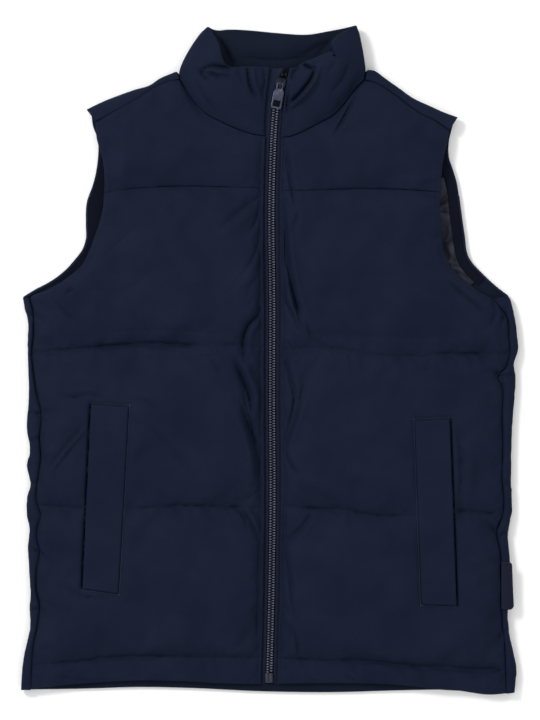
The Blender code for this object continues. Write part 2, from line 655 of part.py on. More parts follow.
def collar_station_curves():
    """Base, middle and top of the collar for each station, from zip edge round to zip edge."""
    at = np.linspace(0, 1, HALF + 1)
    parts = {}
    for side in SIDES:
        table = COLLAR_FRONT[side]
        base = yoke_plan(side)[-1][HALF:][::-1]
        forward = np.gradient(base, axis=0)
        up = np.column_stack([forward[:, 1], -forward[:, 0]]) * (1 if side == "right" else -1)
        up /= np.linalg.norm(up, axis=1)[:, None]
        base = base + up * SEAM_GAP
        base[-1, 0] -= SIDES[side] * NECK_CORNER_CLEAR
        base = np.column_stack([base, np.full(len(base), FRONT_LOW + rise(RISE_TOP) + EDGE_THICK / 2)])
        rows = [base]
        for level in ("mid", "top"):
            points = [curve(table["at"], table[f"{level}_{axis}"], at) for axis in "xyz"]
            rows.append(np.column_stack(points))
        parts[side] = np.array(rows)
    t = np.linspace(0, 1, len(COLLAR_BACK["base_x"]))
    fine = np.concatenate([np.arange(0, 6) / 24, np.linspace(0.25, 0.75, 11), np.arange(19, 25) / 24])
    rows = []
    for level in ("base", "mid", "top"):
        points = [curve(t, COLLAR_BACK[f"{level}_{axis}"], fine) for axis in "xyz"]
        rows.append(np.column_stack(points))
    return np.concatenate([parts["right"], np.array(rows), parts["left"][:, ::-1]], axis=1)


def collar():
    low, mid, high = collar_station_curves()
    w = COLLAR_LEVELS[:, None, None]
    middle = low * (2 * w - 1) * (w - 1) + mid * 4 * w * (1 - w) + high * w * (2 * w - 1)
    along, up = np.gradient(middle, axis=1), np.gradient(middle, axis=0)
    normal = np.cross(up, along)
    normal /= np.linalg.norm(normal, axis=-1)[..., None]
    stations = middle.shape[1]
    front = (np.arange(stations) <= HALF) | (np.arange(stations) >= stations - HALF - 1)
    normal[0][front] = (0, 0, 1)
    flat = np.array([0, 0, 1 - COLLAR_SEAM_EASE])
    normal[1][front] = normal[1][front] * COLLAR_SEAM_EASE + flat
    level = COLLAR_LEVELS[:, None]
    thick = EDGE_THICK + (COLLAR_THICK - EDGE_THICK) * swell(level, COLLAR_FILL)
    taper = step_up((level - 1 + COLLAR_TAPER) / COLLAR_TAPER)
    thick = thick + (COLLAR_EDGE - thick) * taper
    thick = np.where(level == 1, COLLAR_EDGE / 2, thick)
    for fold in (HALF + 2, stations - HALF - 3):
        away = (np.arange(stations) - fold) / COLLAR_FOLD_SPAN
        thick = thick * (1 - COLLAR_FOLD_THIN * np.exp(-(away**2)))[None]
    run = np.concatenate([[0], np.cumsum(np.linalg.norm(np.diff(mid, axis=0), axis=1))])
    end = np.minimum(run, run[-1] - run)
    thick = COLLAR_END + (thick - COLLAR_END) * swell(end, EDGE_SOFTNESS)[None]
    outer = middle + normal * thick[..., None] / 2
    inner = middle - normal * thick[..., None] / 2
    outer[..., 2] = np.maximum(outer[..., 2], 0)
    inner[..., 2] = np.maximum(inner[..., 2], 0)
    return wall("collar", outer, inner, "shell")


# ---------------------------------------------------------------- what lies on the panels
def under_welt(side, plan):
    """Height of the front's outside at plan points under a welt, which bridges the waist seam."""
    x, y = plan[..., 0], plan[..., 1]
    grid = front_plan(side)[0]
    edge_x = np.interp(y, grid[:, 0, 1], grid[:, 0, 0])
    zip_edge = zip_x(y) + SIDES[side] * ZIP_HALF
    heights = np.ones(x.shape)
    for low, high in zip(LEVELS[:-1], LEVELS[1:]):
        below, above = y - across(low[side], x), across(high[side], x) - y
        inside = (below >= 0) & (above >= 0)
        pinch = swell(below, SEAM_SOFTNESS) * swell(above, SEAM_SOFTNESS)
        heights = np.where(inside, np.maximum(pinch, WELT_BRIDGE), heights)
    heights *= FRONT_CROWN * swell(np.abs(x - edge_x), EDGE_SOFTNESS)
    heights *= swell(np.abs(x - zip_edge) - EDGE_FLAT, EDGE_SOFTNESS)
    return FRONT_LOW + EDGE_THICK + heights


def welts():
    """Flat doubled strips over the pocket mouths; the edge by the side seam is free."""
    v, u = spaced(14, 0)[:, None, None], spaced(4, 0)[None, :, None]
    for side in SIDES:
        corners = points_of(WELTS[side])
        top = corners[0] + (corners[1] - corners[0]) * u
        low = corners[3] + (corners[2] - corners[3]) * u
        plan = top + (low - top) * v
        lift = WELT_CLEAR + WELT_FREE_LIFT * (1 - u[..., 0]) ** 2 * np.sin(math.pi * v[..., 0])
        sheet_on(f"welt_{side}", plan, under_welt(side, plan) + lift, WELT_THICK, "shell")


def armhole_line(side):
    """The back's armhole edge as a smooth line."""
    return path(points_of(BACK_ARMHOLE[side]), np.linspace(0, 1, 401))


def inside_strip(name, side, start, width, ends, finish):
    """A sheet on the back's inside that follows the armhole from ends[0] to ends[1] in height."""
    line = armhole_line(side)
    y = np.linspace(*ends, 19)
    at = np.interp(y, line[:, 1], np.arange(len(line)))
    edge = np.array([line[int(round(k))] for k in at])
    run = np.gradient(edge, axis=0)
    inward = np.column_stack([-run[:, 1], run[:, 0]]) * SIDES[side]
    inward /= np.linalg.norm(inward, axis=1)[:, None]
    offsets = start + width * spaced(3, 0)
    plan = edge[:, None] + inward[:, None] * offsets[None, :, None]
    sheet_on(name, plan, np.full(plan.shape[:2], BACK_THICK + SEAM_GAP), SHEET_THICK, finish)


def inside_pieces():
    start = TURNED_WIDTH + SEAM_GAP
    inside_strip("armhole_facing_right", "right", start, FACING_WIDTH - start, (480, 566), "inside")
    inside_strip("armhole_facing_left", "left", start, FACING_WIDTH - start, (480, 566), "inside")
    inside_strip("lining", "left", FACING_WIDTH + SEAM_GAP, LINING_WIDTH, (484, 566), "lining")


def side_label():
    """A blank label folded into the left side seam, lying on the rolled side."""
    rolls = np.array([outer[:5] for outer, inner in back_edge("left")], float)
    heights = rolls[:, 0, 1]
    rows = heights[(heights > LABEL["low"] + 2) & (heights < LABEL["high"] - 2)]
    outer_rows, inner_rows = [], []
    for height in (LABEL["low"], *rows, LABEL["high"]):
        k = int(np.searchsorted(heights, height)) - 1
        share = (height - heights[k]) / (heights[k + 1] - heights[k])
        rolled = (1 - share) * rolls[k] + share * rolls[k + 1]
        rolled[0] += (rolled[1] - rolled[0]) * LABEL_IN
        run = np.gradient(rolled[:, [0, 2]], axis=0)
        run /= np.linalg.norm(run, axis=1)[:, None]
        out = np.column_stack([-run[:, 1], 0 * run[:, 0], run[:, 0]])
        inner_rows.append(rolled + out * LABEL_CLEAR)
        outer_rows.append(rolled + out * (LABEL_CLEAR + LABEL_THICK))
    wall("side_label", np.array(outer_rows), np.array(inner_rows), "label", roughness=0.5)


# ---------------------------------------------------------------- zip
def zip_low(y):
    """Height of the front edges' underside along the zip."""
    return FRONT_LOW + rise(y)


def front_edge_x(side, y):
    """The front's and then the collar's edge beside the zip."""
    body = zip_x(y) + SIDES[side] * ZIP_HALF
    table = COLLAR_FRONT[side]
    neck = NECK_SEAM[side]["y"][-1]
    up = [neck, table["mid_y"][0], table["top_y"][0]]
    stand = curve(up, [NECK_SEAM[side]["x"][-1], table["mid_x"][0], table["top_x"][0]], y)
    return np.where(y < neck, body, stand)


def zip_tapes():
    y = np.concatenate([np.linspace(ZIP_FOOT, 600, 16), np.linspace(620, ZIP_HEAD, 9)])
    for side, sign in SIDES.items():
        near = zip_x(y) + sign * TAPE_PARTING / 2
        far = front_edge_x(side, y) + sign * TAPE_UNDER
        x = near[:, None] + (far - near)[:, None] * spaced(2, 0)
        plan = np.dstack([x, np.tile(y[:, None], 3)])
        low = np.tile((zip_low(y) - SEAM_GAP - TAPE_THICK)[:, None], 3)
        sheet_on(f"zip_tape_{side}", plan, low, TAPE_THICK, "tape")


def zip_teeth():
    """The closed rows of teeth as one strip; its top is chamfered."""
    foot = ZIP_BOX["top"] + SEAM_GAP
    y = np.concatenate([np.linspace(foot, 600, 30), np.linspace(612, SLIDER_MOUTH, 12)])
    half, flat = CHAIN_WIDTH / 2, CHAIN_WIDTH / 2 - CHAIN_CHAMFER
    low, top = zip_low(y), zip_low(y) + CHAIN_THICK
    side = top - CHAIN_CHAMFER
    slope = np.gradient(zip_x(y), y)
    section = ((-half, low), (-half, side), (-flat, top), (flat, top), (half, side), (half, low))
    verts = [(zip_x(yy) + x, yy - x * slope[k], z[k]) for k, yy in enumerate(y) for x, z in section]
    count = len(section)
    faces = []
    for k in range(len(y) - 1):
        for j in range(count):
            a, b = k * count + j, k * count + (j + 1) % count
            faces.append((a, b, b + count, a + count))
    faces.append(tuple(range(count)))
    faces.append(tuple(reversed(range(len(verts) - count, len(verts)))))
    solid("zip_teeth", verts, faces, "teeth", roughness=0.35)


def mirrored(table):
    """An outline from half widths: up one side and down the other."""
    right = list(zip(table["half_width"], table["y"]))
    return right + [(-x, y) for x, y in reversed(right)]


def rectangle(x, y, half_width, half_length):
    return [(x + a * half_width, y + b * half_length) for a, b in ((-1, -1), (1, -1), (1, 1), (-1, 1))]


def box_points(x, y, z):
    """Corners and faces of a box between (low, high) pairs."""
    verts = [(a, b, c) for c in z for b in y for a in x]
    return verts, [(0, 2, 3, 1), (4, 5, 7, 6), (0, 1, 5, 4), (2, 6, 7, 3), (0, 4, 6, 2), (1, 3, 7, 5)]


def block(name, outline, z, bevel, finish, placed=True, **look):
    """An upright block over a plan outline, with bevelled edges."""
    count = len(outline)
    verts = [(x, y, height) for height in z for x, y in outline]
    faces = [tuple(range(count))[::-1], tuple(range(count, 2 * count))]
    faces += [(k, (k + 1) % count, count + (k + 1) % count, count + k) for k in range(count)]
    made = solid(name, verts, faces, finish, placed=placed, **look)
    shell = bmesh.new()
    shell.from_mesh(made.data)
    bmesh.ops.dissolve_limit(shell, angle_limit=0.01, verts=shell.verts, edges=shell.edges)
    sharp = [e for e in shell.edges if e.calc_face_angle(0) > math.radians(50)]
    bmesh.ops.bevel(shell, geom=sharp, offset=bevel * MM, segments=2, profile=0.5, affect="EDGES")
    shell.to_mesh(made.data)
    shell.free()
    return made


def combined(made, name, operation, finish, x, y, z):
    """Joins a box to a block, or cuts it out."""
    tool = solid(f"{made.name}_{name}", *box_points(x, y, z), finish, placed=False)
    tool.hide_render = True
    tool.display_type = "WIRE"
    tool.parent = made
    step = made.modifiers.new(name, "BOOLEAN")
    step.object = tool
    step.operation = operation


def both_ways(half):
    return (-half, half)


def slider_frame():
    """Where the slider's hinge is and how it is turned."""
    height = float(zip_low(HINGE_Y)) + HINGE_UP
    place = Vector((HINGE_X - MIDDLE[0], HINGE_Y - MIDDLE[1], height)) * MM
    turn = Matrix.Rotation(math.radians(PULL_TURN), 4, "Z")
    return Matrix.Translation(place) @ turn @ Matrix.Rotation(math.radians(PULL_TILT), 4, "X")


def slider_and_pull():
    """The slider's body with a raised bail, and the pull that hangs on the bail."""
    eye = both_ways(EYE["half_height"])
    look = {"roughness": 0.3, "metallic": 0.9}
    body = (SEAM_GAP - HINGE_UP, eye[0])
    slider = block("zip_slider", mirrored(SLIDER_OUTLINE), body, 0.5, "metal", False, **look)
    bail = (BAIL["low"], BAIL["high"])
    standing = (eye[0] - BAIL["thick"] / 2, eye[1] + BAIL["thick"])
    combined(slider, "bail", "UNION", "metal", both_ways(BAIL["half_width"]), bail, standing)
    opening = both_ways(EYE["half_length"])
    combined(slider, "eye", "DIFFERENCE", "metal", both_ways(THROUGH), opening, eye)
    slider.matrix_world = slider_frame()

    plate = both_ways(PULL_THICK / 2)
    pull = block("zip_pull", mirrored(PULL_OUTLINE), plate, 0.35, "metal", False, **look)
    window = (PULL_WINDOW["low"], PULL_WINDOW["high"])
    across_window = both_ways(PULL_WINDOW["half_width"])
    combined(pull, "window", "DIFFERENCE", "metal", across_window, window, both_ways(THROUGH))
    recess = (PULL_RECESS["low"], PULL_RECESS["high"])
    sunk = (plate[1] - PULL_RECESS["deep"], THROUGH)
    combined(pull, "recess", "DIFFERENCE", "metal", both_ways(PULL_RECESS["half_width"]), recess, sunk)
    pull.matrix_world = slider_frame()


def zip_ends():
    """The box at the foot of the zip and the stops above the slider."""
    low = float(zip_low(ZIP_FOOT))
    middle, half = (ZIP_BOX["top"] + ZIP_BOX["low"]) / 2, (ZIP_BOX["top"] - ZIP_BOX["low"]) / 2
    outline = rectangle(float(zip_x(ZIP_FOOT)), middle, ZIP_BOX["half_width"], half)
    block("zip_box", outline, (low, low + ZIP_BOX["thick"]), 0.6, "teeth", roughness=0.35)
    low = float(zip_low(ZIP_STOP["y"]))
    for side, sign in SIDES.items():
        x = float(zip_x(ZIP_STOP["y"])) + sign * ZIP_STOP["off"]
        outline = rectangle(x, ZIP_STOP["y"], ZIP_STOP["half_width"], ZIP_STOP["half_length"])
        height = (low, low + ZIP_STOP["thick"])
        block(f"zip_stop_{side}", outline, height, 0.4, "teeth", roughness=0.35)


# ---------------------------------------------------------------- start
def clear_scene():
    for old in list(bpy.data.objects):
        bpy.data.objects.remove(old, do_unlink=True)


def build():
    clear_scene()
    fronts_and_yokes()
    back()
    back_yoke()
    collar()
    welts()
    inside_pieces()
    side_label()
    zip_tapes()
    zip_teeth()
    slider_and_pull()
    zip_ends()


build()
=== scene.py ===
import math

import bmesh
import bpy
import numpy as np
from mathutils import Matrix, Vector
from mathutils.bvhtree import BVHTree


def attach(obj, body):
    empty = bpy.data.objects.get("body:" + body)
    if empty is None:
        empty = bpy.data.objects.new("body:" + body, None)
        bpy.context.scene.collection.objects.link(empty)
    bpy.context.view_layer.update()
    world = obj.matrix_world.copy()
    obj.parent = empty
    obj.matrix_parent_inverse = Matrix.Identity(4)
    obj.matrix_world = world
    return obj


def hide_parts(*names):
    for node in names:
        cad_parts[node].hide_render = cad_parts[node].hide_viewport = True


# A padded vest with a stand collar and a front zip, laid flat, front up and zipped. Sizes are in
# millimetres, x across with the wearer's left at +x, y up the body from the hem and z up from the
# surface that it lies on; MIDDLE is over the frame's origin. A padded piece is a wall between a
# fine outer grid, which carries quilting, puckers and creases, and a plainer inner one.

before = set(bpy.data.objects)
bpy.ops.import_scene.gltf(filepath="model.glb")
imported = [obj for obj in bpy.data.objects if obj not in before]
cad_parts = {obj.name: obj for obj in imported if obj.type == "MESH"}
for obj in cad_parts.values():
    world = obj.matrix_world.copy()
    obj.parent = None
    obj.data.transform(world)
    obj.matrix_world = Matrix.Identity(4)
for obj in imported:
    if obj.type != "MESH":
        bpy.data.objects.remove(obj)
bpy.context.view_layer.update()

MM = 0.001
MIDDLE = (0.05, 384.1)
SIDES = {"right": -1, "left": 1}


def named_rows(columns, *rows):
    """A table's rows, each with its values under the names of the columns."""
    return tuple(dict(zip(columns.split(), row)) for row in rows)


# ---------------- the maker's sizes, mm
SEAM_GAP = 0.3          # between two pieces that are sewn together
BACK_THICK = 6.0        # padded back, pressed by its own weight
FRONT_LOW = 8.2         # underside of the fronts
EDGE_THICK = 3.6        # a padded wall where it is stitched through
EDGE_ROUND = 1.7        # the round of a turned or sewn edge
EDGE_MEETING = 0.45     # where a wall's two faces meet at its edge, of its thickness
CLOTH_SHARP = 75        # degrees from which an edge of cloth looks sharp
FRONT_CROWN = 10.0      # how far a quilted field swells above its seams
YOKE_CROWN = 8.0
HEM_CROWN = 4.5
SEAM_SOFTNESS = 13.0    # over which a field swells up from a seam
SEAM_ROUND = 1.0        # how round the bottom of a seam is
# How far the padding stands over EDGE_THICK where a seam is slack, hem first. The yoke's seam is
# slack beside the zip alone, where YOKE_SEAM_SLACK holds.
SLACK_HEIGHTS = (0, 2.2, 5.0, 5.0, 0)
SLACK_WAVES = ((1.1, 62), (0.6, 27), (0.2, 11))     # padding's unevenness: sizes and widths
QUILTING_PUCKERS = (1.5, 1.3, 1.7)      # how large they are at the hem's stitches, waist and chest
HARD_GATHER = 2.6       # depth of a gather that leaves no slack in its seam
SLACK_FADE, GATHER_FADE = 20.0, 14.0    # over which slack and gathers end along a seam
EDGE_SOFTNESS = 13.0    # the same as SEAM_SOFTNESS, from a side seam or an armhole
ZIP_SOFTNESS = 7.5      # the same from the zip
EDGE_FLAT = 5.0         # flat stitched strip along the zip
LIP_CROWN = 6.3         # top of the rolled side above FRONT_LOW
FOLD_REACH = 9.0        # from the fold to the top of the roll
FOLD_WALL = 5.5         # wall thickness at the fold
FOLD_SHARE = 0.6        # most of a narrow roll's width that either of those takes
FOLD_INSIDE = 0.25      # of the roll's width, how far its inside runs back from the fold
ROLL_STEPS = (0, 0.06, 0.14, 0.26, 0.42, 0.6, 0.8)      # from the seam to the top of the roll
HEM_ROLL_TOP = 12.5     # the roll is pressed lower at the hem
ARMHOLE_LIFT = 9.0      # how far the front stands off the back at the armhole
ARMHOLE_REACH = 38.0    # over which it comes down again
ARMHOLE_FULLNESS = 0.8  # below 1 the lift is even for most of the armhole
COLLAR_HEIGHT = 76.0    # as it is cut, for what is spread over it
COLLAR_THICK = 9.0
COLLAR_EDGE = 5.0       # at the rounded top edge
COLLAR_END = 3.2        # beside the zip
COLLAR_FILL = 0.16      # over which the collar fills out above its seam, of its height
COLLAR_TAPER = 0.2      # over which it thins to its edge, of its height
COLLAR_FOLD_THIN = 0.3  # how much the padding is squeezed where the collar folds over
COLLAR_FOLD_SPAN = 14.0
COLLAR_DEEPEST = 6.0    # the most that a crease presses it in
NECK_CORNER_CLEAR = 0.9     # how far the collar keeps off the shoulder's corner
ZIP_HALF = 9.1          # from the zip's middle to the front's edge
TAPE_THICK = 0.9
TAPE_UNDER = 8.0        # tape hidden under the front's edge
TAPE_PARTING = 0.6      # between the tapes under the teeth
TAPE_RIB = 1.1          # pitch of the ribs woven along the tape
TAPE_SUNK = 0.5         # how much lower it lies under the teeth
TAPE_DIP = 0.8          # and under the fronts' edges
SHADOWED_CORD_HALF = 4.2         # the tapes' corded edges, from the zip's middle; they are coloured near black as painted shadow under the teeth
TOOTH_PITCH = 3.0       # along one tape
# A tooth from its root over the tape to its head, which meshes with the other row: half width along
# the zip and height above the fronts' underside.
TOOTH = {
    "x": (-2.5, -2.3, -1.9, -0.9, 0.1, 0.7, 1.0, 1.3),
    "half_width": (0.45, 0.8, 0.88, 0.86, 0.74, 0.5, 0.35, 0.2),
    "top": (1.5, 2.5, 2.9, 2.5, 1.7, 0.9, 0.2, -0.3),
}
TOOTH_FOOT = -0.75      # bottom of a tooth, on the sunk tape
ROOT_FROM_MIDDLE = 1.15     # from the zip's middle to where a tooth is set
WELT_THICK = 2.0
WELT_WIDE = 43.0
WELT_CLEAR = 0.3        # from the front to a welt
WELT_SWELL = 0.8        # how full the front is under a welt, of its crown
WELT_BORDER = 10.0      # over which the front fills out again beside a welt
WELT_FREE_LIFT = 1.2    # how far the welt's free edge stands off the front
WELT_SUNK = 0.9         # groove where a welt is sewn down
POCKET_SLIT = 4.0       # the pocket's mouth beside the welt's free edge
FACING_WIDTH = {"right": 19.0, "left": 13.7}
FACING_ENDS, LINING_ENDS = (480, 636), (484, 600)       # up the body
SHEET_THICK = 1.0       # facing, lining
TURNED_WIDTH = 3.0      # cloth turned over along the back's armholes and neck
TURNED_CLEAR = 0.6
SQUARE_FROM, SQUARE_SPAN = 0.65, 0.25  # of the armhole, where its edge comes square to the yoke
CORNER_LEAN, CORNER_SPAN = 0.3, 20.0   # how the back's neck edge leans beside the shoulders
LINING_WIDTH = 50.0     # of what shows
LABEL_THICK = 1.3
LABEL_RIM = 0.6         # its raised border
LABEL_FROM, LABEL_OUTER = 268.2, (282.6, 280.6)     # across: its sewn edge, its free edge's two ends
LABEL_SLANT = -1.5      # how much lower its free edge is
LABEL_CORNERS = (6.0, 3.0)      # how round they are at its foot and its head
LABEL_BORDER = 1.3      # from its edge to its face; the border is coloured lighter than the face as a painted highlight on the rim
LABEL_HEIGHTS = ((268, 270, 273, 277, 283), (13.2, 14.6, 15.3, 15.2, 13.6))     # over x
LABEL_EASE = 12.0       # over which the roll is smoothed beside the label
ZIP_FOOT, ZIP_HEAD = 9.5, 721.0      # ends of the tapes
ZIP_BOX = {"low": 10.5, "top": 21.5, "half_width": 4.2, "thick": 3.2}
SLIDER_MOUTH = 694.5    # where the teeth go into the slider
ZIP_STOP = {"y": 713.5, "off": 2.0, "half_width": 1.2, "half_length": 1.6, "thick": 2.4}
# The hinge between slider and pull, and the two of them in its axes: half widths up their outlines.
HINGE, HINGE_UP = (12.6, 703.0), 4.8     # in plan, and above the tapes
PULL_TURN, PULL_TILT = -11.0, 7.0   # degrees
SLIDER_OUTLINE = {"half_width": (2.6, 3.6, 4.7, 5.4, 5.5, 5.3, 4.8, 4.2, 3.2),
                  "y": (-7.5, -6.9, -3.4, -1.0, 1.5, 4.0, 5.2, 6.0, 6.4)}
BAIL = {"half_width": 1.3, "low": -4.0, "high": 4.6, "thick": 1.2}
EYE = {"half_length": 2.4, "half_height": 1.4}
PULL_OUTLINE = {"half_width": (4.4, 5.3, 5.8, 6.0, 6.0, 5.6, 4.6, 3.8, 3.6, 3.4, 2.8),
                "y": (-29.2, -29.0, -28.5, -27.6, -11.2, -9.4, -7.0, -5.6, -1.0, 0.4, 1.0)}
PULL_THICK = 1.6
PULL_WINDOW = {"half_width": 2.2, "low": -5.6, "high": -1.0}
PULL_RECESS = {"half_width": 4.1, "low": -26.8, "high": -19.6, "deep": 0.6}
GROOVE_DEEP = 1.6       # quilting grooves on the underside of the back
GROOVE_WIDE = 7.0

# Thread: a stitch with its gap, without it, and its radius; how far rows lie from the edges they hold.
STITCH = {"pitch": 3.1, "long": 2.5, "radius": 0.3}
ROW_FROM_ZIP = 3.6
ROW_FROM_ARMHOLE = 5.5
ROW_FROM_WELT = 1.5
ABOVE_ALL = 0.08        # metres up, from where rows are let down on the cloth

# How far the edges of a seam are rounded, and how its two sides meet.
SIDE_SEAM_SEED = 31     # the front and the back share its unevenness
YOKE_SEAM_SHUT, YOKE_SEAM_OPEN = 0.06, 0.32     # by the zip, and how much more elsewhere
YOKE_SEAM_FADES = {"right": 30.0, "left": 48.0}     # from the zip, where the yoke's seam shows
YOKE_SEAM_FADE_SPAN = 26.0
YOKE_SEAM_SLACK = 5.5   # how high the padding stands over it beside the zip
YOKE_SLACK_SHORT = 6.0  # how much nearer to the zip than the fade the slack starts to end
SHOULDER_SEAM_OPEN = {"right": 0.04, "left": 0.25}   # how far its edges are rounded
SHOULDER_GAP = 0.12     # the pieces lie closer there than at the other seams
SHOULDER_FULL = 5.0     # the padding runs this much further on at the shoulder seam
NECK_TUCK = 1.3         # how much rounder the neck seam is towards the shoulders
FINE_FOLD = 1.6         # depth of the thin folds that run off a seam
# The cloth simulation that swells the panels.
SIM_STEP = 4            # every so many rows and columns of a panel
SIM_SCALE = 0.01        # its unit is this much of a millimetre, so that 100 mm are simulated as 1
SIM_FRAMES = 20
SIM_MOST = 3.0          # the most that it moves the cloth, mm
CLOTH_SPARE = 0.015     # how much longer the cloth is cut than the panel it covers
FILLING_PRESSURE = 0.1
SIM_CLOTH = {
    "quality": 6, "mass": 0.4, "tension_stiffness": 25, "compression_stiffness": 25,
    "shear_stiffness": 12, "bending_stiffness": 0.6, "vertex_group_mass": "held",
    "shrink_min": -CLOTH_SPARE, "use_pressure": True, "uniform_pressure_force": FILLING_PRESSURE,
}
THINNEST = 0.9          # a padded wall at the bottom of its deepest crease or gather
CREASE_STEPS = 16       # straight stretches that a crease's path is taken in

# The setting, in metres: the camera looks straight down.
CAMERA_AT, CAMERA_HIGH = (0.0005, -0.0001), 5.0
VIEW_TALL = 0.8352
SENSOR = 36             # the lens's, in its own mm
WORLD_LIGHT = 0.92
FLOOR_HALF, FLOOR_HEIGHT = 4.0, -0.0003
LIGHTS = (              # name, place, size, power
    ("key light", (-1.5, 1.35, 2.2), 0.7, 42.0),
    ("fill light", (1.8, -0.8, 2.4), 2.0, 4.0),
)

# ---------------- seams and edges, mm
# The zip's middle.
ZIP_LINE = {
    "y": (9, 106, 222, 338, 454, 570, 616, 650, 674, 688, 697, 706, 716, 722),
    "x": (-0.6, 2, 3.5, 3, 3.2, 2.3, 3.5, 5, 7, 8.7, 10.4, 13.3, 18, 21),
}
# How far the neck end of the zip, and with it the yokes, stand above FRONT_LOW.
RISE = {"y": (540, 560, 600, 643, 686, 722), "z": (0, 0, 1.2, 3, 9, 11.8)}
RISE_TOP = 643

# Seams that run across each front, from the side to the zip.
HEM = {
    "right": {"x": (-288, -243, -197, -148, -96, -61, -5), "y": (2, 7, 11, 13, 12, 10, 9)},
    "left": {"x": (4, 78, 148, 198, 233, 256, 284), "y": (9, 10, 8, 3, 1, -3, 0)},
}
HEM_STITCH = {
    "right": {"x": (-284, -251, -182, -121, -61, -8), "y": (31, 33, 39, 41, 40, 39)},
    "left": {"x": (10, 48, 116, 173, 231, 270, 284), "y": (39, 37, 35, 29, 26, 25, 27)},
}
WAIST_SEAM = {
    "right": {"x": (-269, -215, -162, -110, -41, -8), "y": (216, 213, 212, 215, 214, 213)},
    "left": {"x": (10, 45, 82, 117, 166, 216, 264), "y": (215, 213, 211, 205, 205, 209, 206)},
}
CHEST_SEAM = {
    "right": {"x": (-273, -231, -182, -131, -87, -35, -8), "y": (392, 397, 400, 403, 401, 401, 399)},
    "left": {"x": (12, 66, 97, 135, 170, 202, 266), "y": (397, 398, 394, 389, 389, 391, 391)},
}
YOKE_SEAM = {
    "right": {"x": (-191, -169, -136, -92, -48, -7), "y": (578, 581, 584, 585, 584, 583)},
    "left": {"x": (10, 39, 66, 116, 155, 196), "y": (580, 580, 581, 582, 581, 578)},
}
LEVELS = (HEM, HEM_STITCH, WAIST_SEAM, CHEST_SEAM, YOKE_SEAM)
CROWNS = (HEM_CROWN, FRONT_CROWN, FRONT_CROWN, FRONT_CROWN)

# Up each side: the seam on top, and the fold that is the vest's outline.
SIDE_SEAM = {
    "right": {
        "y": (2, 31, 55, 75, 97, 121, 145, 161, 175, 189, 206, 217, 247, 267, 297, 318, 349, 377,
              393, 419, 437, 457),
        "x": (-276, -275, -273, -269, -266, -270, -269, -266, -269, -269, -265, -269, -268, -265,
              -266, -264, -270, -274, -275, -273, -273, -276),
    },
    "left": {
        "y": (1, 26, 52, 82, 129, 162, 186, 206, 222, 246, 284, 322, 354, 365, 375, 396, 409, 429,
              447, 455),
        "x": (274, 273, 272, 269, 268, 267, 263, 270, 271, 269, 270, 269, 269, 264, 273, 278, 277,
              276, 265, 257),
    },
}
SIDE_FOLD = {
    "right": {
        "y": (2, 20, 38, 57, 74, 89, 113, 135, 150, 168, 187, 205, 224, 240, 261, 277, 307, 338,
              396, 428, 447, 457),
        "x": (-288, -287, -285, -281, -277, -278, -277, -278, -279, -280, -278, -281, -281, -277,
              -281, -278, -281, -279, -280, -280, -284, -286),
    },
    "left": {
        "y": (1, 29, 48, 71, 89, 135, 158, 180, 212, 233, 270, 307, 345, 365, 379, 396, 412, 428,
              447, 458),
        "x": (284, 286, 282, 277, 276, 279, 278, 276, 281, 280, 280, 281, 284, 285, 283, 288, 287,
              285, 281, 278),
    },
}
# Armholes from the side seam up to the shoulder: the front's edge and the back's.
FRONT_ARMHOLE = {
    "right": {
        "x": (-260, -243, -229, -217, -208, -202, -197, -193, -191, -191, -193, -197, -200, -201),
        "y": (464, 473, 483, 494, 511, 527, 541, 558, 579, 601, 616, 629, 641, 660),
    },
    "left": {
        "x": (243, 231, 217, 208, 202, 199, 197, 197, 199, 201, 206, 208),
        "y": (463, 472, 484, 493, 507, 530, 559, 578, 601, 616, 638, 650),
    },
}
BACK_ARMHOLE = {
    "right": {
        "x": (-286, -273, -251, -237, -226, -217, -213, -213, -211, -207, -202, -200, -200, -206,
              -212),
        "y": (457, 465, 477, 488, 500, 512, 524, 541, 570, 583, 602, 616, 639, 657, 674),
    },
    "left": {
        "x": (278, 267, 249, 231, 226, 222, 218, 213, 209, 209, 213, 218),
        "y": (458, 466, 482, 503, 530, 559, 589, 606, 618, 638, 651, 665),
    },
}
# Shoulders from the armhole to the neck, and the front neck seam on to the zip.
SHOULDER_FOLD = {
    "right": {"x": (-212, -191, -173, -156, -139, -127, -113, -108),
              "y": (674, 684, 691, 697, 702, 710, 716, 718)},
    "left": {"x": (218, 204, 186, 165, 151, 134, 121, 114),
             "y": (665, 670, 678, 688, 698, 710, 719, 720)},
}
SHOULDER_SEAM = {
    "right": {"x": (-201, -190, -166, -154, -136, -121, -105),
              "y": (660, 666, 679, 686, 698, 705, 709)},
    "left": {"x": (208, 193, 173, 158, 139, 124, 111), "y": (650, 660, 670, 681, 695, 704, 708)},
}
NECK_SEAM = {
    "right": {"x": (-105, -92, -77, -56, -38, -20, -6), "y": (709, 688, 671, 659, 651, 645, 643)},
    "left": {"x": (111, 100, 86, 74, 61, 44, 26, 13), "y": (708, 698, 680, 667, 660, 651, 643, 641)},
}
BACK_NECK = {"x": (-108, -98, -80, -40, 3, 49, 88, 104, 114),
             "y": (718, 711, 703, 695, 693, 695, 704, 713, 720)}
BACK_YOKE_Y = 574
BACK_LOW_X = (-209.5, 219.5)  # ends of the back yoke's lower edge
BACK_HEM = {"x": (-288, -217, -148, -96, -9, 78, 148, 217, 256, 284),
            "y": (2, 3, 5, 4, 0, -1, 1, 1, -4, -1)}

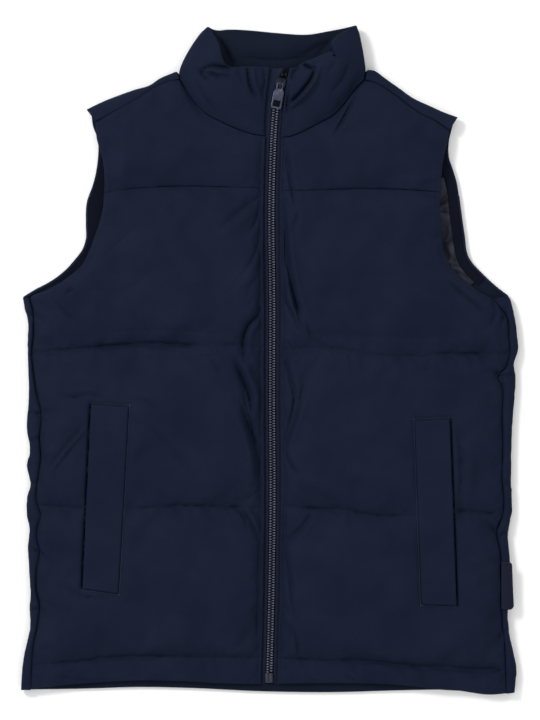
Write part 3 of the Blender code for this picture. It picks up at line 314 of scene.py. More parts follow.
# The collar's middle surface: halfway up and at its top edge, for stations along each front neck
# seam (at = 0 by the zip, 1 at the shoulder), round each fold, and along the back.
COLLAR_FRONT = {
    "right": {
        "at": (0, 0.25, 0.5, 0.7, 0.85, 1),
        "mid_x": (-4, -33, -55, -68, -77, -89), "mid_y": (686, 688, 695, 704, 718, 734),
        "mid_z": (19, 23, 25, 26, 25, 21),
        "top_x": (1, -26, -47, -54, -58, -66), "top_y": (722, 723, 723, 732, 748, 763),
        "top_z": (22, 25, 28, 31, 30, 25),
    },
    "left": {
        "at": (0, 0.25, 0.5, 0.7, 0.85, 1),
        "mid_x": (17, 39, 64, 82, 91, 103), "mid_y": (686, 687, 697, 712, 727, 739),
        "mid_z": (19, 24, 26, 27, 26, 21),
        "top_at": (0, 0.14, 0.25, 0.42, 0.55, 0.63, 0.7, 0.76, 0.85, 1),
        "top_x": (23, 33, 36, 50, 62, 73.5, 70.5, 71.5, 77, 90),
        "top_y": (721, 722, 726, 731.5, 736.5, 742, 746, 750, 757, 766),
        "top_z": (22, 24, 28, 30, 31.5, 33, 33.5, 33, 31, 25),
    },
}
COLLAR_BACK = {
    "base_x": (-103.5, -103.6, -100.5, -95, -80, -40, 3, 49, 88, 101, 106.5, 109.7, 109.4),
    "base_y": (713, 716.5, 716, 712.5, 704.5, 696.5, 694.5, 696.5, 705.5, 714.5, 717.5, 717.5, 712.5),
    "base_z": (12, 8.5, 4.4, 3.2, 3, 3, 3, 3, 3, 3.2, 4.4, 8.5, 12),
    "mid_x": (-90.5, -89, -84, -76, -64, -34, 0, 46, 84, 92, 98, 104, 105),
    "mid_y": (739, 743, 742, 740, 737, 731, 730, 731, 738, 741, 742, 743, 741.5),
    "mid_z": (18.5, 13, 5.2, 4.7, 4.5, 4.5, 4.5, 4.5, 4.5, 4.7, 5.2, 13, 18.5),
    "top_x": (-69.5, -70, -65, -58, -46, -23, 8, 42, 68, 84, 93, 99, 97.5),
    "top_y": (767.5, 769, 767, 766, 767, 766, 763, 761, 765, 768, 770, 771, 769.5),
    "top_z": (21, 14, 5, 4, 3.5, 3.5, 3.5, 3.5, 3.5, 4, 5, 14, 21),
}

# Pocket welts: corners from the top on the side-seam side, round by the zip side.
WELTS = {
    "right": {"x": (-206, -163, -175, -216), "y": (333, 330, 114, 120)},
    "left": {"x": (208, 168, 176, 216), "y": (316, 314, 102, 100)},
}
LABEL = {"low": 96, "high": 151}

# Creases pressed into the fronts and yokes: a path, how deep, how wide, and the ridge that the
# cloth pushed out of it makes on its left (positive) or right, as a share of the depth.
CREASES = named_rows(
    "x y deep wide lip",
    ((-9, -13, -25, -30.5, -29), (462, 437, 424, 406, 383), 8.0, 4.4, 0.4),
    ((-41, -33, -24, -21.5), (385, 366, 344, 322), 9.5, 5.6, 0.5),
    ((-34, -26, -14.5, -8), (337, 314, 282, 236), 9.5, 6.0, -0.5),
    ((-30, -27, -20), (352, 330, 300), 4.0, 4.0, -0.4),
    ((-72, -63, -56), (390, 378, 365), 2.6, 3.0, 0.5),
    ((-66, -55), (392, 372), 2.0, 3.0, 0.5),
    ((-231, -234), (471, 457), 2.5, 4.0, 0.3),
    ((-245, -236, -226), (451, 440, 429), 3.0, 3.2, 0.6),
    ((-213, -234, -256), (309, 286, 259), 3.6, 3.2, 0.6),
    ((-209, -229, -248), (303, 281, 256), 2.8, 3.0, -0.5),
    ((-243, -230, -206, -190), (344, 341, 343, 338), 3.0, 3.6, 0.4),
    ((-162, -146, -129), (339, 336, 326), 2.8, 4.5, 0.4),
    ((-146, -112, -86), (312, 279, 252), 2.6, 4.5, 0.4),
    ((-31, -25, -10), (209, 200, 175), 4.4, 3.6, 0.5),
    ((-40, -31, -25), (213, 206, 190), 3.0, 3.5, -0.4),
    ((-12, -10.5, -12, -11), (168, 120, 80, 42), 3.6, 4.5, 0.4),
    ((-238, -219, -181), (123, 112, 109.5), 4.2, 4.4, 0.4),
    ((-9, -23, -56), (574, 565, 537), 3.6, 6.0, 0.3),
    ((-150, -190), (541, 505), 2.4, 10.0, 0.3),
    ((-11, -17, -33), (527, 506, 480), 3.0, 4.0, 0.5),
    ((-12, -15, -24), (562, 547, 530), 2.6, 3.5, 0.4),
    ((17, 24, 30), (630, 588, 560), 4.6, 4.5, 0.4),
    ((34, 28), (556, 537), 3.0, 4.0, 0.3),
    ((14, 16, 22, 28, 36), (560, 528, 486, 460, 432), 7.5, 4.6, 0.5),
    ((25, 31, 37), (480, 448, 418), 5.0, 3.6, -0.4),
    ((14, 24, 34), (458, 440, 421), 4.4, 3.6, 0.4),
    ((42, 50), (428, 403), 3.6, 3.6, 0.3),
    ((12, 19, 28, 17), (404, 376, 341, 288), 5.0, 4.5, 0.4),
    ((39, 29, 17), (353, 316, 286), 5.6, 4.2, 0.4),
    ((18, 23, 34), (277, 263, 251), 4.0, 3.8, 0.3),
    ((85, 99), (430, 406), 2.6, 7.0, 0.3),
    ((185, 182), (384, 372), 2.6, 4.0, 0.3),
    ((50, 43, 28, 18), (208, 198, 182, 174), 4.4, 4.2, 0.4),
    ((18, 24, 27), (160, 120, 88), 4.0, 4.5, 0.4),
    ((27, 32, 34), (70, 56, 41), 3.4, 3.6, 0.3),
    ((205, 224, 251), (475, 460, 438), 3.4, 4.5, 0.4),
    ((257, 263), (458, 438), 3.0, 3.6, 0.3),
    ((214, 221, 222, 218), (318, 280, 245, 210), 4.6, 6.6, 0.4),
    ((219, 224), (222, 196), 2.6, 4.5, 0.4),
    ((251, 258, 268), (196, 189, 178), 4.0, 3.4, 0.5),
    ((50, 140, 215), (414, 410, 409), 1.8, 9.0, 0.2),
    ((-200, -120, -50), (416, 418, 414), 1.6, 9.0, 0.2),
    ((-150, -95, -60), (384, 386, 389), 2.0, 8.0, 0.2),
    ((99, 87, 74), (692, 667, 645), 5.5, 3.6, 0.3),
)
# Short folds over the rolled sides and the edge of the front beside them.
SIDE_CREASES = named_rows(
    "x y deep wide lip",
    ((-283, -268, -255), (326, 322, 325), 4.0, 3.0, 0.4),
    ((-268, -258), (319, 312), 3.0, 2.6, 0.4),
    ((-284, -268, -256), (290, 293, 300), 3.4, 3.2, 0.4),
    ((-283, -266), (240, 242), 3.0, 3.0, 0.4),
    ((-282, -266, -258), (166, 161, 154), 4.0, 3.0, 0.4),
    ((-282, -267, -259), (90, 96, 93), 3.6, 3.0, 0.4),
    ((-284, -272), (384, 392), 3.0, 3.4, 0.4),
    ((-286, -272, -262), (430, 436, 428), 3.4, 4.0, 0.4),
    ((258, 268, 284), (371, 366, 367), 4.6, 3.2, 0.5),
    ((262, 266, 271), (376, 366, 352), 3.4, 3.0, 0.4),
    ((262, 272, 284), (176, 184, 188), 4.0, 3.4, 0.5),
    ((270, 282), (238, 246), 3.0, 3.4, 0.4),
    ((266, 272, 284), (62, 70, 72), 3.0, 3.2, 0.4),
    ((276, 268), (448, 424), 4.0, 3.6, 0.5),
    ((262, 256), (440, 424), 3.0, 3.2, 0.4),
    ((-246, -215, -173), (16, 13, 14), 1.8, 3.0, 0.5),
    ((88, 96, 105), (20, 14, 10), 2.6, 2.8, 0.5),
    ((103, 112, 124), (19, 13, 10), 2.2, 2.6, 0.5),
    ((44, 52, 62), (17, 12, 9), 1.8, 2.8, 0.5),
)
# Where the quilting thread draws the cloth in most: the seam, counted up from the hem, from and to.
GATHERS = named_rows(
    "side seam x deep wide",
    ("right", 3, (-262, -205), 0.9, 1.6),
    ("right", 3, (-200, -85), 2.8, 2.6),
    ("right", 2, (-110, -75), 0.5, 1.7),
    ("right", 2, (-76, -32), 1.1, 1.9),
    ("right", 2, (-262, -222), 0.8, 1.7),
    ("right", 1, (-250, -190), 1.7, 2.2),
    ("right", 1, (-204, -128), 3.8, 2.4),
    ("right", 1, (-132, -86), 1.6, 2.0),
    ("left", 3, (145, 172), 0.9, 1.8),
    ("left", 3, (200, 258), 1.3, 2.0),
    ("left", 2, (40, 84), 1.3, 1.8),
    ("left", 2, (90, 158), 0.8, 1.7),
    ("left", 2, (214, 258), 1.1, 1.8),
    ("left", 1, (22, 85), 1.3, 2.0),
    ("left", 1, (85, 172), 3.6, 2.2),
    ("left", 1, (170, 266), 4.0, 2.5),
)
# The same on the upper side of the collar.
COLLAR_CREASES = named_rows(
    "x y deep wide lip",
    ((-25, -24, -21, -15), (724, 710, 698, 686), 6.0, 3.4, 0.6),
    ((-79, -76, -70, -55, -44), (716, 720, 722.5, 721.5, 720.5), 7.5, 3.6, -0.6),
    ((-80, -77, -72), (718, 711, 706), 5.0, 3.4, 0.5),
    ((-78, -68, -57), (716, 714.5, 708), 4.5, 3.6, 0.5),
    ((36, 43, 51), (729, 723, 719), 7.0, 2.6, 0.6),
    ((53, 48, 39, 28, 20), (721, 708, 696, 685, 679), 9.0, 2.9, 0.9),
    ((33, 27, 24), (722, 715, 706), 3.6, 3.2, 0.4),
    ((20, 20, 18), (700, 684, 664), 5.0, 3.0, 0.4),
    ((-8, -5, -6, -5), (721, 712, 696, 676), 4.6, 3.0, 0.3),
    ((-84, -74, -64), (702, 684, 672), 2.8, 5.0, 0.3),
    ((-36, -33, -29), (722, 710, 700), 2.6, 4.0, 0.3),
    ((92, 84, 72), (724, 706, 692), 3.6, 5.0, 0.3),
    ((78, 74, 66), (735, 724, 712), 2.2, 6.0, 0.3),
)
# The same on the inside of the back of the collar, which shows through the neck.
COLLAR_INSIDE_CREASES = named_rows(
    "x y deep wide lip",
    ((-59, -52, -46, -40), (758, 744, 732, 724), 4.5, 6.0, 0.2),
    ((72, 62, 53), (757, 744, 732), 4.0, 5.0, 0.4),
    ((40, 50, 61), (737, 743, 752), 2.4, 4.0, 0.3),
    ((-30, 10, 45), (734, 731, 735), 3.0, 8.0, 0.2),
)


# ---------------- curves and noise
def curve(xs, ys, at):
    """A smooth curve through the points, level with its ends outside them."""
    xs, ys = np.asarray(xs, float), np.asarray(ys, float)
    step, climb = np.diff(xs), np.diff(ys)
    slope = climb / step
    inner = (slope[:-1] * step[1:] + slope[1:] * step[:-1]) / (step[:-1] + step[1:])
    turn = np.concatenate([[slope[0]], inner, [slope[-1]]])
    at = np.clip(np.asarray(at, float), xs[0], xs[-1])
    k = np.clip(np.searchsorted(xs, at) - 1, 0, len(step) - 1)
    t = (at - xs[k]) / step[k]
    near = ys[k] * (2 * t**3 - 3 * t**2 + 1) + turn[k] * step[k] * (t**3 - 2 * t**2 + t)
    return near + ys[k + 1] * (3 * t**2 - 2 * t**3) + turn[k + 1] * step[k] * (t**3 - t**2)


def across(table, x):
    """The height of a seam over x; its table may run either way."""
    order = np.argsort(table["x"])
    return curve(np.array(table["x"])[order], np.array(table["y"])[order], x)


def run_length(points):
    """How far along a line each of its points is."""
    return np.concatenate([[0], np.cumsum(np.linalg.norm(np.diff(points, axis=0), axis=1))])


def path(points, fractions):
    """Points at the given fractions of the length of a smooth path."""
    points = np.asarray(points, float)
    along = run_length(points)
    at = np.asarray(fractions, float) * along[-1]
    return np.stack([curve(along, points[:, k], at) for k in range(points.shape[1])], axis=-1)


def picked(line, at, places=None):
    """Points at places along a line, which are counted in its own points unless they are given."""
    places = np.arange(len(line)) if places is None else places
    return np.stack([np.interp(at, places, values) for values in line.T], axis=-1)


def inward_of(line, side):
    """Directions square to a line, towards the vest's middle where it runs up that side."""
    run = np.gradient(line, axis=0)
    inward = np.column_stack([-run[:, 1], run[:, 0]]) * SIDES[side]
    return inward / np.linalg.norm(inward, axis=1)[:, None]


def points_of(table):
    return np.column_stack([table["x"], table["y"]])


def spaced(count, bunched):
    """Fractions from 0 to 1, bunched towards both ends by that share."""
    t = np.linspace(0, 1, count + 1)
    return (1 - bunched) * t + bunched * (0.5 - 0.5 * np.cos(math.pi * t))


def step_up(t):
    t = np.clip(t, 0, 1)
    return t * t * (3 - 2 * t)


def swell(distance, softness):
    return 1 - np.exp(-np.maximum(distance, 0) / softness)


def rounded(distance, radius):
    """0 at an edge, 1 from its radius on, along a quarter circle."""
    t = np.clip(distance / radius, 0, 1)
    return np.sqrt(1 - (1 - t) ** 2)


def noise(x, y, seed):
    """Smooth noise from -1 to 1 over the plane, one wave to about two units."""
    knots = np.random.default_rng(seed).uniform(-1, 1, (128, 128))
    column, row = np.floor(x).astype(int), np.floor(y).astype(int)
    u, v = step_up(x - column), step_up(y - row)
    low = knots[row % 128, column % 128] * (1 - u) + knots[row % 128, (column + 1) % 128] * u
    high = knots[(row + 1) % 128, column % 128] * (1 - u) + knots[(row + 1) % 128, (column + 1) % 128] * u
    return low * (1 - v) + high * v


def zip_x(y):
    return curve(ZIP_LINE["y"], ZIP_LINE["x"], y)


def rise(y):
    return curve(RISE["y"], RISE["z"], y)


def zip_low(y):
    """Height of the front edges' underside along the zip."""
    return FRONT_LOW + rise(y)


def closer_at(count, first, last):
    """Fractions from 0 to 1, that much closer together at the start and at the end."""
    t = np.linspace(0, 1, 501)
    close = 1 + first * np.exp(-((t / 0.14) ** 2)) + last * np.exp(-(((1 - t) / 0.2) ** 2))
    total = np.concatenate([[0], np.cumsum((close[1:] + close[:-1]) / 2)])
    return np.interp(np.linspace(0, total[-1], count + 1), total, t)


COLUMNS = closer_at(190, 1.2, 1.8)
HALF = len(COLUMNS) // 2
ROWS_BETWEEN = (22, 106, 104, 112)
YOKE_ROWS = 90
UNDERSIDE = spaced(90, 0)[1:-1]     # columns across the back between its rolled edges
NECK_COLUMNS = np.concatenate([[0.012], spaced(80, 0)[1:-1], [0.988]])


# ---------------- finishes
def linear(colour):
    """A colour as seen on a screen, in 0 to 255, as light."""
    part = np.asarray(colour, float) / 255
    return (*np.where(part <= 0.04045, part / 12.92, ((part + 0.055) / 1.055) ** 2.4), 1)


def add_node(tree, kind, inputs, **settings):
    """Adds a node and returns its outputs; each of its inputs is another's output or a plain value."""
    made = tree.nodes.new(kind)
    made.location = (-220 * (len(tree.nodes) % 6 + 1), -180 * (len(tree.nodes) // 6))
    for name, value in settings.items():
        setattr(made, name, value)
    for name, value in inputs.items():
        if isinstance(value, bpy.types.NodeSocket):
            tree.links.new(value, made.inputs[name])
        else:
            made.inputs[name].default_value = value
    return made.outputs


class Finish:
    """A material and its nodes."""

    def __init__(self, name, roughness, specular, metallic=0.0):
        self.material = bpy.data.materials.new(name)
        self.material.use_nodes = True
        self.tree = self.material.node_tree
        self.shader = self.tree.nodes["Principled BSDF"]
        self.shader.inputs["Roughness"].default_value = roughness
        self.shader.inputs["Specular IOR Level"].default_value = specular
        self.shader.inputs["Metallic"].default_value = metallic

    def node(self, kind, inputs=(), **settings):
        return add_node(self.tree, kind, dict(inputs), **settings)

    def cloth_place(self):
        return self.node("ShaderNodeUVMap", uv_map="cloth")["UV"]

    def place(self):
        return self.node("ShaderNodeTexCoord")["Object"]

    def clouds(self, where, scale, detail=3.0, distortion=0.0):
        inputs = {"Vector": where, "Scale": scale, "Detail": detail, "Distortion": distortion}
        return self.node("ShaderNodeTexNoise", inputs)["Fac"]

    def mix(self, factor, dark, light, low=0.3, high=0.7):
        """Between two colours by a factor, from its low to its high."""
        mixed = self.node("ShaderNodeValToRGB", {"Fac": factor})["Color"]
        for end, place, colour in zip(mixed.node.color_ramp.elements, (low, high), (dark, light)):
            end.position, end.color = place, colour
        return mixed

    def threads(self, where, pitch, direction):
        """Bands across the cloth, in metres of its own length or width."""
        inputs = {"Vector": where, "Scale": math.tau / (20 * pitch * MM), "Distortion": 0.4}
        return self.node("ShaderNodeTexWave", inputs, bands_direction=direction)["Fac"]

    def maths(self, operation, a, b):
        return self.node("ShaderNodeMath", {0: a, 1: b}, operation=operation)[0]

    def bump(self, height, distance, strength=1.0, under=None):
        inputs = {"Height": height, "Distance": distance * MM, "Strength": strength}
        if under is not None:
            inputs["Normal"] = under
        return self.node("ShaderNodeBump", inputs)["Normal"]

    def done(self, colour, normal=None):
        self.tree.links.new(colour, self.shader.inputs["Base Color"])
        if normal is not None:
            self.tree.links.new(normal, self.shader.inputs["Normal"])
        return self.material


def woven(name, dark, light, pitch=0.55, roughness=0.7):
    """Woven cloth: a fine plain weave, soft crinkles and a slight unevenness of the dye."""
    made = Finish(name, roughness, 0.03)
    cloth = made.cloth_place()
    place = made.place()
    warp = made.threads(cloth, pitch, "X")
    weft = made.threads(cloth, pitch, "Y")
    fine = made.bump(made.maths("MAXIMUM", warp, weft), 0.02, 0.6)
    crumple = made.clouds(place, 95, 4.0, 0.6)
    normal = made.bump(crumple, 0.48, 0.55, fine)
    patches = made.clouds(place, 26, 4.0, 0.3)
    flecks = made.clouds(cloth, 900, 2.0)
    tone = made.maths("ADD", made.maths("MULTIPLY", patches, 0.7), made.maths("MULTIPLY", flecks, 0.3))
    return made.done(made.mix(tone, linear(dark), linear(light)), normal)


def lining_cloth(name, dark, light):
    """Thin lining: a fine weave with many small crumples, and painted shade that darkens the folds between
    them.
    """
    made = Finish(name, 0.55, 0.08)
    place = made.place()
    weave = made.threads(made.cloth_place(), 0.4, "X")
    crumple = made.clouds(place, 52, 3.0, 0.9)
    normal = made.bump(crumple, 1.6, 0.8, made.bump(weave, 0.02, 0.6))
    # Colour follows the crumple height: painted shade in the folds, charcoal cloth on the tops.
    return made.done(made.mix(crumple, linear(dark), linear(light), 0.38, 0.6), normal)


def ribbed(name, dark, light):
    """The zip's tape: ribs along its length and fine weft across."""
    made = Finish(name, 0.8, 0.04)
    cloth = made.cloth_place()
    rib = made.threads(cloth, TAPE_RIB, "X")
    weft = made.threads(cloth, 0.5, "Y")
    normal = made.bump(weft, 0.03, 0.8, made.bump(rib, 0.12, 1.0))
    flecks = made.clouds(cloth, 1200, 2.0)
    return made.done(made.mix(flecks, linear(dark), linear(light)), normal)


def smooth(name, dark, light, roughness, specular, metallic=0.0, grain=300.0, relief=0.01):
    """Moulded plastic, rubber, thread or cast metal with a fine grain."""
    made = Finish(name, roughness, specular, metallic)
    clouds = made.clouds(made.place(), grain, 3.0)
    return made.done(made.mix(clouds, linear(dark), linear(light)), made.bump(clouds, relief))


FINISHES = {
    "shell": woven("navy shell cloth", (18, 24, 41), (24, 30, 47)),
    # The shell cloth again, darker: painted shade on the inner faces of the collar and the back.
    "collar inside": woven("navy shell cloth darkened as painted shade", (15, 21, 34), (20, 26, 40), 0.5),
    # The armhole facings: a real facing, coloured darker than the shell as painted shade inside the
    # armholes.
    "inside": woven("navy facing cloth darkened as painted shade", (11, 15, 24), (16, 19, 31), roughness=0.8),
    "lining": lining_cloth("charcoal lining cloth", (16, 18, 28), (45, 47, 58)),
    "tape": ribbed("zip tape", (22, 27, 44), (29, 35, 52)),
    "thread": smooth("navy thread", (17, 21, 34), (23, 27, 42), 0.8, 0.04),
    # The same navy thread, lighter: painted highlight on the welts' stitches.
    "welt thread": smooth("navy thread with painted highlight", (46, 52, 72), (60, 66, 88), 0.7, 0.1),
    # The label's border is coloured lighter than its face: a painted highlight on the raised rim.
    "label": smooth("blank rubber label", (21, 24, 40), (26, 30, 48), 0.5, 0.1, grain=900.0, relief=0.02),
    "label face": smooth("blank rubber label's face", (18, 21, 36), (23, 26, 43), 0.5, 0.06,
                         grain=900.0, relief=0.02),
    "teeth": smooth("moulded teeth", (70, 72, 90), (85, 88, 110), 0.22, 0.55),
    # Near black: painted shadow around and under the teeth, on the tapes' corded edges.
    "cord": ribbed("tape cord painted with shadow under the teeth", (7, 8, 13), (12, 13, 20)),
    "box": smooth("moulded box", (34, 37, 52), (43, 46, 63), 0.4, 0.25),
    # Darkened as painted shade: the stops sit in shadow at the top of the zip.
    "stops": smooth("moulded stops darkened as painted shade", (18, 20, 30), (24, 26, 37), 0.6, 0.1),
    # The pull's nickel made darker: painted shade on the slider under the collar's fold.
    "slider metal": smooth("nickel darkened as painted shade", (30, 32, 42), (42, 45, 58), 0.35, 0.5, 0.9),
    "metal": smooth("dark nickel", (62, 65, 82), (78, 82, 102), 0.3, 0.5, 0.95),
    # The floor of the pull's recess, coloured near black.
    "recess": smooth("near-black recess floor", (9, 11, 18), (13, 15, 24), 0.6, 0.02),
}


# ---------------- solids
def put_in_scene(name, data):
    """A new object in the scene, from its mesh, lamp or lens."""
    made = bpy.data.objects.new(name, data)
    bpy.context.scene.collection.objects.link(made)
    return made


def in_metres(points):
    """Points of the vest, in mm, as places in the frame."""
    return (np.asarray(points, float) - [MIDDLE[0], MIDDLE[1], 0]) * MM


def outward_mesh(name, verts, faces):
    """A closed mesh with its faces outward, from points in metres."""
    mesh = bpy.data.meshes.new(name)
    mesh.from_pydata(verts.tolist(), [], faces)
    shell = bmesh.new()
    shell.from_mesh(mesh)
    bmesh.ops.recalc_face_normals(shell, faces=shell.faces)
    if shell.calc_volume(signed=True) < 0:
        bmesh.ops.reverse_faces(shell, faces=shell.faces)
    shell.to_mesh(mesh)
    shell.free()
    return mesh


def shaded(mesh, degrees):
    """Smooth shading, with an edge kept sharp where its faces turn by more than those degrees."""
    mesh.shade_smooth()
    mesh.set_sharp_from_angle(angle=math.radians(degrees))


def refinish(mesh, finish, chosen):
    """Gives the chosen faces a second finish."""
    mesh.materials.append(FINISHES[finish])
    for face in mesh.polygons:
        if chosen(face):
            face.material_index = 1


def plan_point(face):
    """A face's middle as seen from above, in mm."""
    return [face.center[k] / MM + MIDDLE[k] for k in (0, 1)]


def solid(name, verts, faces, finish, uv):
    """One closed body from points in mm; uv is each point's place on its cloth."""
    mesh = outward_mesh(name, in_metres(verts), faces)
    layer = mesh.uv_layers.new(name="cloth")
    corners = np.empty(len(mesh.loops), dtype=np.int32)
    mesh.loops.foreach_get("vertex_index", corners)
    layer.data.foreach_set("uv", (np.asarray(uv, float)[corners] * MM).ravel())
    shaded(mesh, CLOTH_SHARP)
    mesh.materials.append(FINISHES[finish])
    return put_in_scene(f"sewn_{name}", mesh)


SEWN = {}   # finished pieces, by the node that each stands for


def cells(ids):
    """The four-sided faces of a grid of point numbers."""
    corners = (ids[:-1, :-1], ids[:-1, 1:], ids[1:, 1:], ids[1:, :-1])
    return np.stack([corner.ravel() for corner in corners], axis=1).tolist()


def kept_columns(count, every):
    """All the columns near the ends of a grid, and every few of the rest."""
    near = min(6, count // 2)
    kept = set(range(near)) | set(range(count - near, count)) | set(range(near, count - near, every))
    return sorted(kept)


def rim(outer, inner, kept):
    """Faces between a run of outer points and those of them that the inner run keeps."""
    faces = []
    for k, (a, b) in enumerate(zip(kept[:-1], kept[1:])):
        edge = outer[a: b + 1]
        faces += [(q, p, inner[k]) for p, q in zip(edge[:-2], edge[1:-1])]
        faces.append((edge[-1], edge[-2], inner[k], inner[k + 1]))
    return faces


def wall(name, outer, inner, finish, every=8, uv=None, inner_finish=None):
    """A closed wall between two grids of points; the inner one keeps fewer columns."""
    rows, cols = outer.shape[:2]
    kept = kept_columns(cols, every)
    inner = inner[:, kept]
    near = np.arange(rows * cols).reshape(rows, cols)
    far = rows * cols + np.arange(rows * len(kept)).reshape(rows, len(kept))
    every_row = list(range(rows))
    faces = cells(near) + cells(far[:, ::-1])
    faces += rim(near[0], far[0], kept)
    faces += rim(near[:, -1], far[:, -1], every_row)
    faces += rim(near[-1, ::-1], far[-1, ::-1], [cols - 1 - k for k in reversed(kept)])
    faces += rim(near[::-1, 0], far[::-1, 0], every_row)
    verts = np.vstack([outer.reshape(-1, 3), inner.reshape(-1, 3)])
    if uv is None:
        uv = outer[..., :2]
    cloth = np.vstack([uv.reshape(-1, 2), uv[:, kept].reshape(-1, 2)])
    made = solid(name, verts, [tuple(int(k) for k in face) for face in faces], finish, cloth)
    if inner_finish:
        first, count = (rows - 1) * (cols - 1), (rows - 1) * (len(kept) - 1)
        refinish(made.data, inner_finish, lambda face: first <= face.index < first + count)
    return made


def lengths(grid):
    """Each point's place on its cloth: how far it is along its row and up its column."""
    u, v = np.zeros(grid.shape[:2]), np.zeros(grid.shape[:2])
    u[:, 1:] = np.cumsum(np.linalg.norm(np.diff(grid, axis=1), axis=-1), axis=1)
    v[1:] = np.cumsum(np.linalg.norm(np.diff(grid, axis=0), axis=-1), axis=0)
    return np.dstack([u, v])


def padded_piece(name, outer, inner, fill, every=8, uv=None, inner_finish=None):
    """A padded piece of the shell, as a wall between its two faces."""
    made = wall(name, outer, inner, "shell", every, uv, inner_finish)
    worn_by(made, name)


def worn_by(piece, node, body="vest"):
    """Hands a finished piece to the body that carries it, in place of the part's own solid."""
    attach(piece, body)
    if node:
        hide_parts(node)
        SEWN[node] = piece


# ---------------- how cloth gives
def crease_depth(x, y, creases):
    """How far the creases press the cloth down at each point; below 0 it is pushed up."""
    down = np.zeros_like(x)
    for crease in creases:
        line = path(points_of(crease), np.linspace(0, 1, CREASE_STEPS + 1))
        near, side, at = np.full(x.shape, np.inf), np.zeros_like(x), np.zeros_like(x)
        for k, (a, b) in enumerate(zip(line[:-1], line[1:])):
            run = b - a
            length = np.hypot(*run)
            t = np.clip(((x - a[0]) * run[0] + (y - a[1]) * run[1]) / length**2, 0, 1)
            away = np.hypot(x - a[0] - t * run[0], y - a[1] - t * run[1])
            left = (run[0] * (y - a[1]) - run[1] * (x - a[0])) / length
            closer = away < near
            near = np.where(closer, away, near)
            side = np.where(closer, left, side)
            at = np.where(closer, (k + t) / CREASE_STEPS, at)
        fade = np.sin(math.pi * np.clip(at, 0.03, 0.97)) ** 0.5
        wide = crease["wide"]
        trough = 0.35 * np.exp(-((near / wide) ** 2)) + 0.65 * np.exp(-near / (0.3 * wide))
        lip = side * np.sign(crease["lip"]) / wide
        ridge = abs(crease["lip"]) * np.exp(-(((lip - 1.7) / 1.1) ** 2)) * np.exp(-((near / wide / 3) ** 4))
        ends = np.exp(-((np.maximum(near - np.abs(side), 0) / wide) ** 2))
        down += crease["deep"] * fade * (trough - ridge * ends)
    return down


def creased(thick, x, y, creases, share):
    """A thickness with creases pressed into it, no deeper than the cloth itself."""
    return thick - np.minimum(crease_depth(x, y, creases), thick - THINNEST) * share


def gathers_along(side, seam, x, fade):
    """Each gather of a seam with where it acts: 1 over its length, falling to 0 at its ends."""
    for gather in GATHERS:
        if gather["side"] == side and gather["seam"] == seam:
            first, last = gather["x"]
            yield gather, step_up((x - first) / fade + 0.5) * step_up((last - x) / fade + 0.5)


def gathered(side, seam, x):
    """1 where the thread draws a quilting seam in hard, 0 where the cloth lies slack over it."""
    hard = np.zeros_like(x)
    for gather, inside in gathers_along(side, seam, x, SLACK_FADE):
        hard = np.maximum(hard, inside * min(gather["deep"] / HARD_GATHER, 1))
    return hard


def yoke_slack(side, x):
    """How high the padding runs on over the yoke seam, which is lost beside the zip."""
    from_zip = np.abs(x - FRONT_PLANS[side][0][-1, -1, 0])
    shown = step_up((from_zip - YOKE_SEAM_FADES[side] + YOKE_SLACK_SHORT) / YOKE_SEAM_FADE_SPAN)
    return YOKE_SEAM_SLACK * (1 - shown)


def pinched(side, seam, x, away, softness, crown):
    """How far the padding has risen from a seam: 0 at a seam held down hard, 1 well away from it."""
    loose = SLACK_HEIGHTS[seam] * (1 - gathered(side, seam, x)) / crown
    if seam == len(SLACK_HEIGHTS) - 1:
        loose = yoke_slack(side, x) / crown
    return loose + (1 - loose) * swell(np.hypot(away, SEAM_ROUND) - SEAM_ROUND, softness)


def drawn_in(side, seam, x, away):
    """How much deeper the thread pulls a quilting seam, here and there along it."""
    away = away - 0.55 * noise(x / 5, x * 0 + seam + 0.4, 17) - 0.5 * noise(x / 13, x * 0 + seam + 0.7, 18)
    down = 0.7 + 0.6 * noise(x / 26, x * 0 + seam, 15) + 0.5 * noise(x / 6, x * 0 + seam, 16)
    down = np.maximum(down, 0.15) * np.exp(-np.abs(away) / 1.3)
    for gather, inside in gathers_along(side, seam, x, GATHER_FADE):
        down += gather["deep"] * inside * np.exp(-np.abs(away) / gather["wide"])
    return down


def puckers(along, away, seed, pitch=7.0, reach=14.0, lean=0.35):
    """Short wrinkles that run out from a seam, irregular in place and length."""
    wave = noise(along / pitch + lean * away / pitch, away / 34 + 7.3, seed)
    wave += 0.5 * noise(along / pitch * 2.1 - lean * away / pitch, away / 20 + 3.1, seed + 1)
    size = 0.65 + 0.5 * noise(along / 45, along * 0 + 0.5, seed + 2)
    return wave * size * np.exp(-np.abs(away) / reach) * swell(np.abs(away), 2.5)


def fine_folds(along, away, seed, pitch=9.0, length=16.0, lean=0.5):
    """Thin folds that start at a seam and run off from it, in some places close together."""
    wave = noise(along / pitch + lean * away / pitch, away / length + 3.7, seed)
    where = step_up(0.2 + 1.3 * noise(along / 26, along * 0 + 0.2, seed + 1))
    return np.exp(-np.abs(wave) / 0.09) * where * np.exp(-np.abs(away) / length)


def slack(x, y, seed):
    """The broad, shallow unevenness of padding under cloth."""
    return sum(size * noise(x / wave, y / wave, seed + k) for k, (size, wave) in enumerate(SLACK_WAVES))


# ---------------- plan of the fronts and yokes
def front_edge(side):
    """The front's outer edge, up the side seam and round the armhole, as a close line."""
    points = np.vstack([points_of(SIDE_SEAM[side]), points_of(FRONT_ARMHOLE[side])]).astype(float)
    points[0] += (points[0] - points[1]) / 2
    return path(points, np.linspace(0, 1, 1201))


def row_height(side, band, t, x):
    return (1 - t) * across(LEVELS[band][side], x) + t * across(LEVELS[band + 1][side], x)


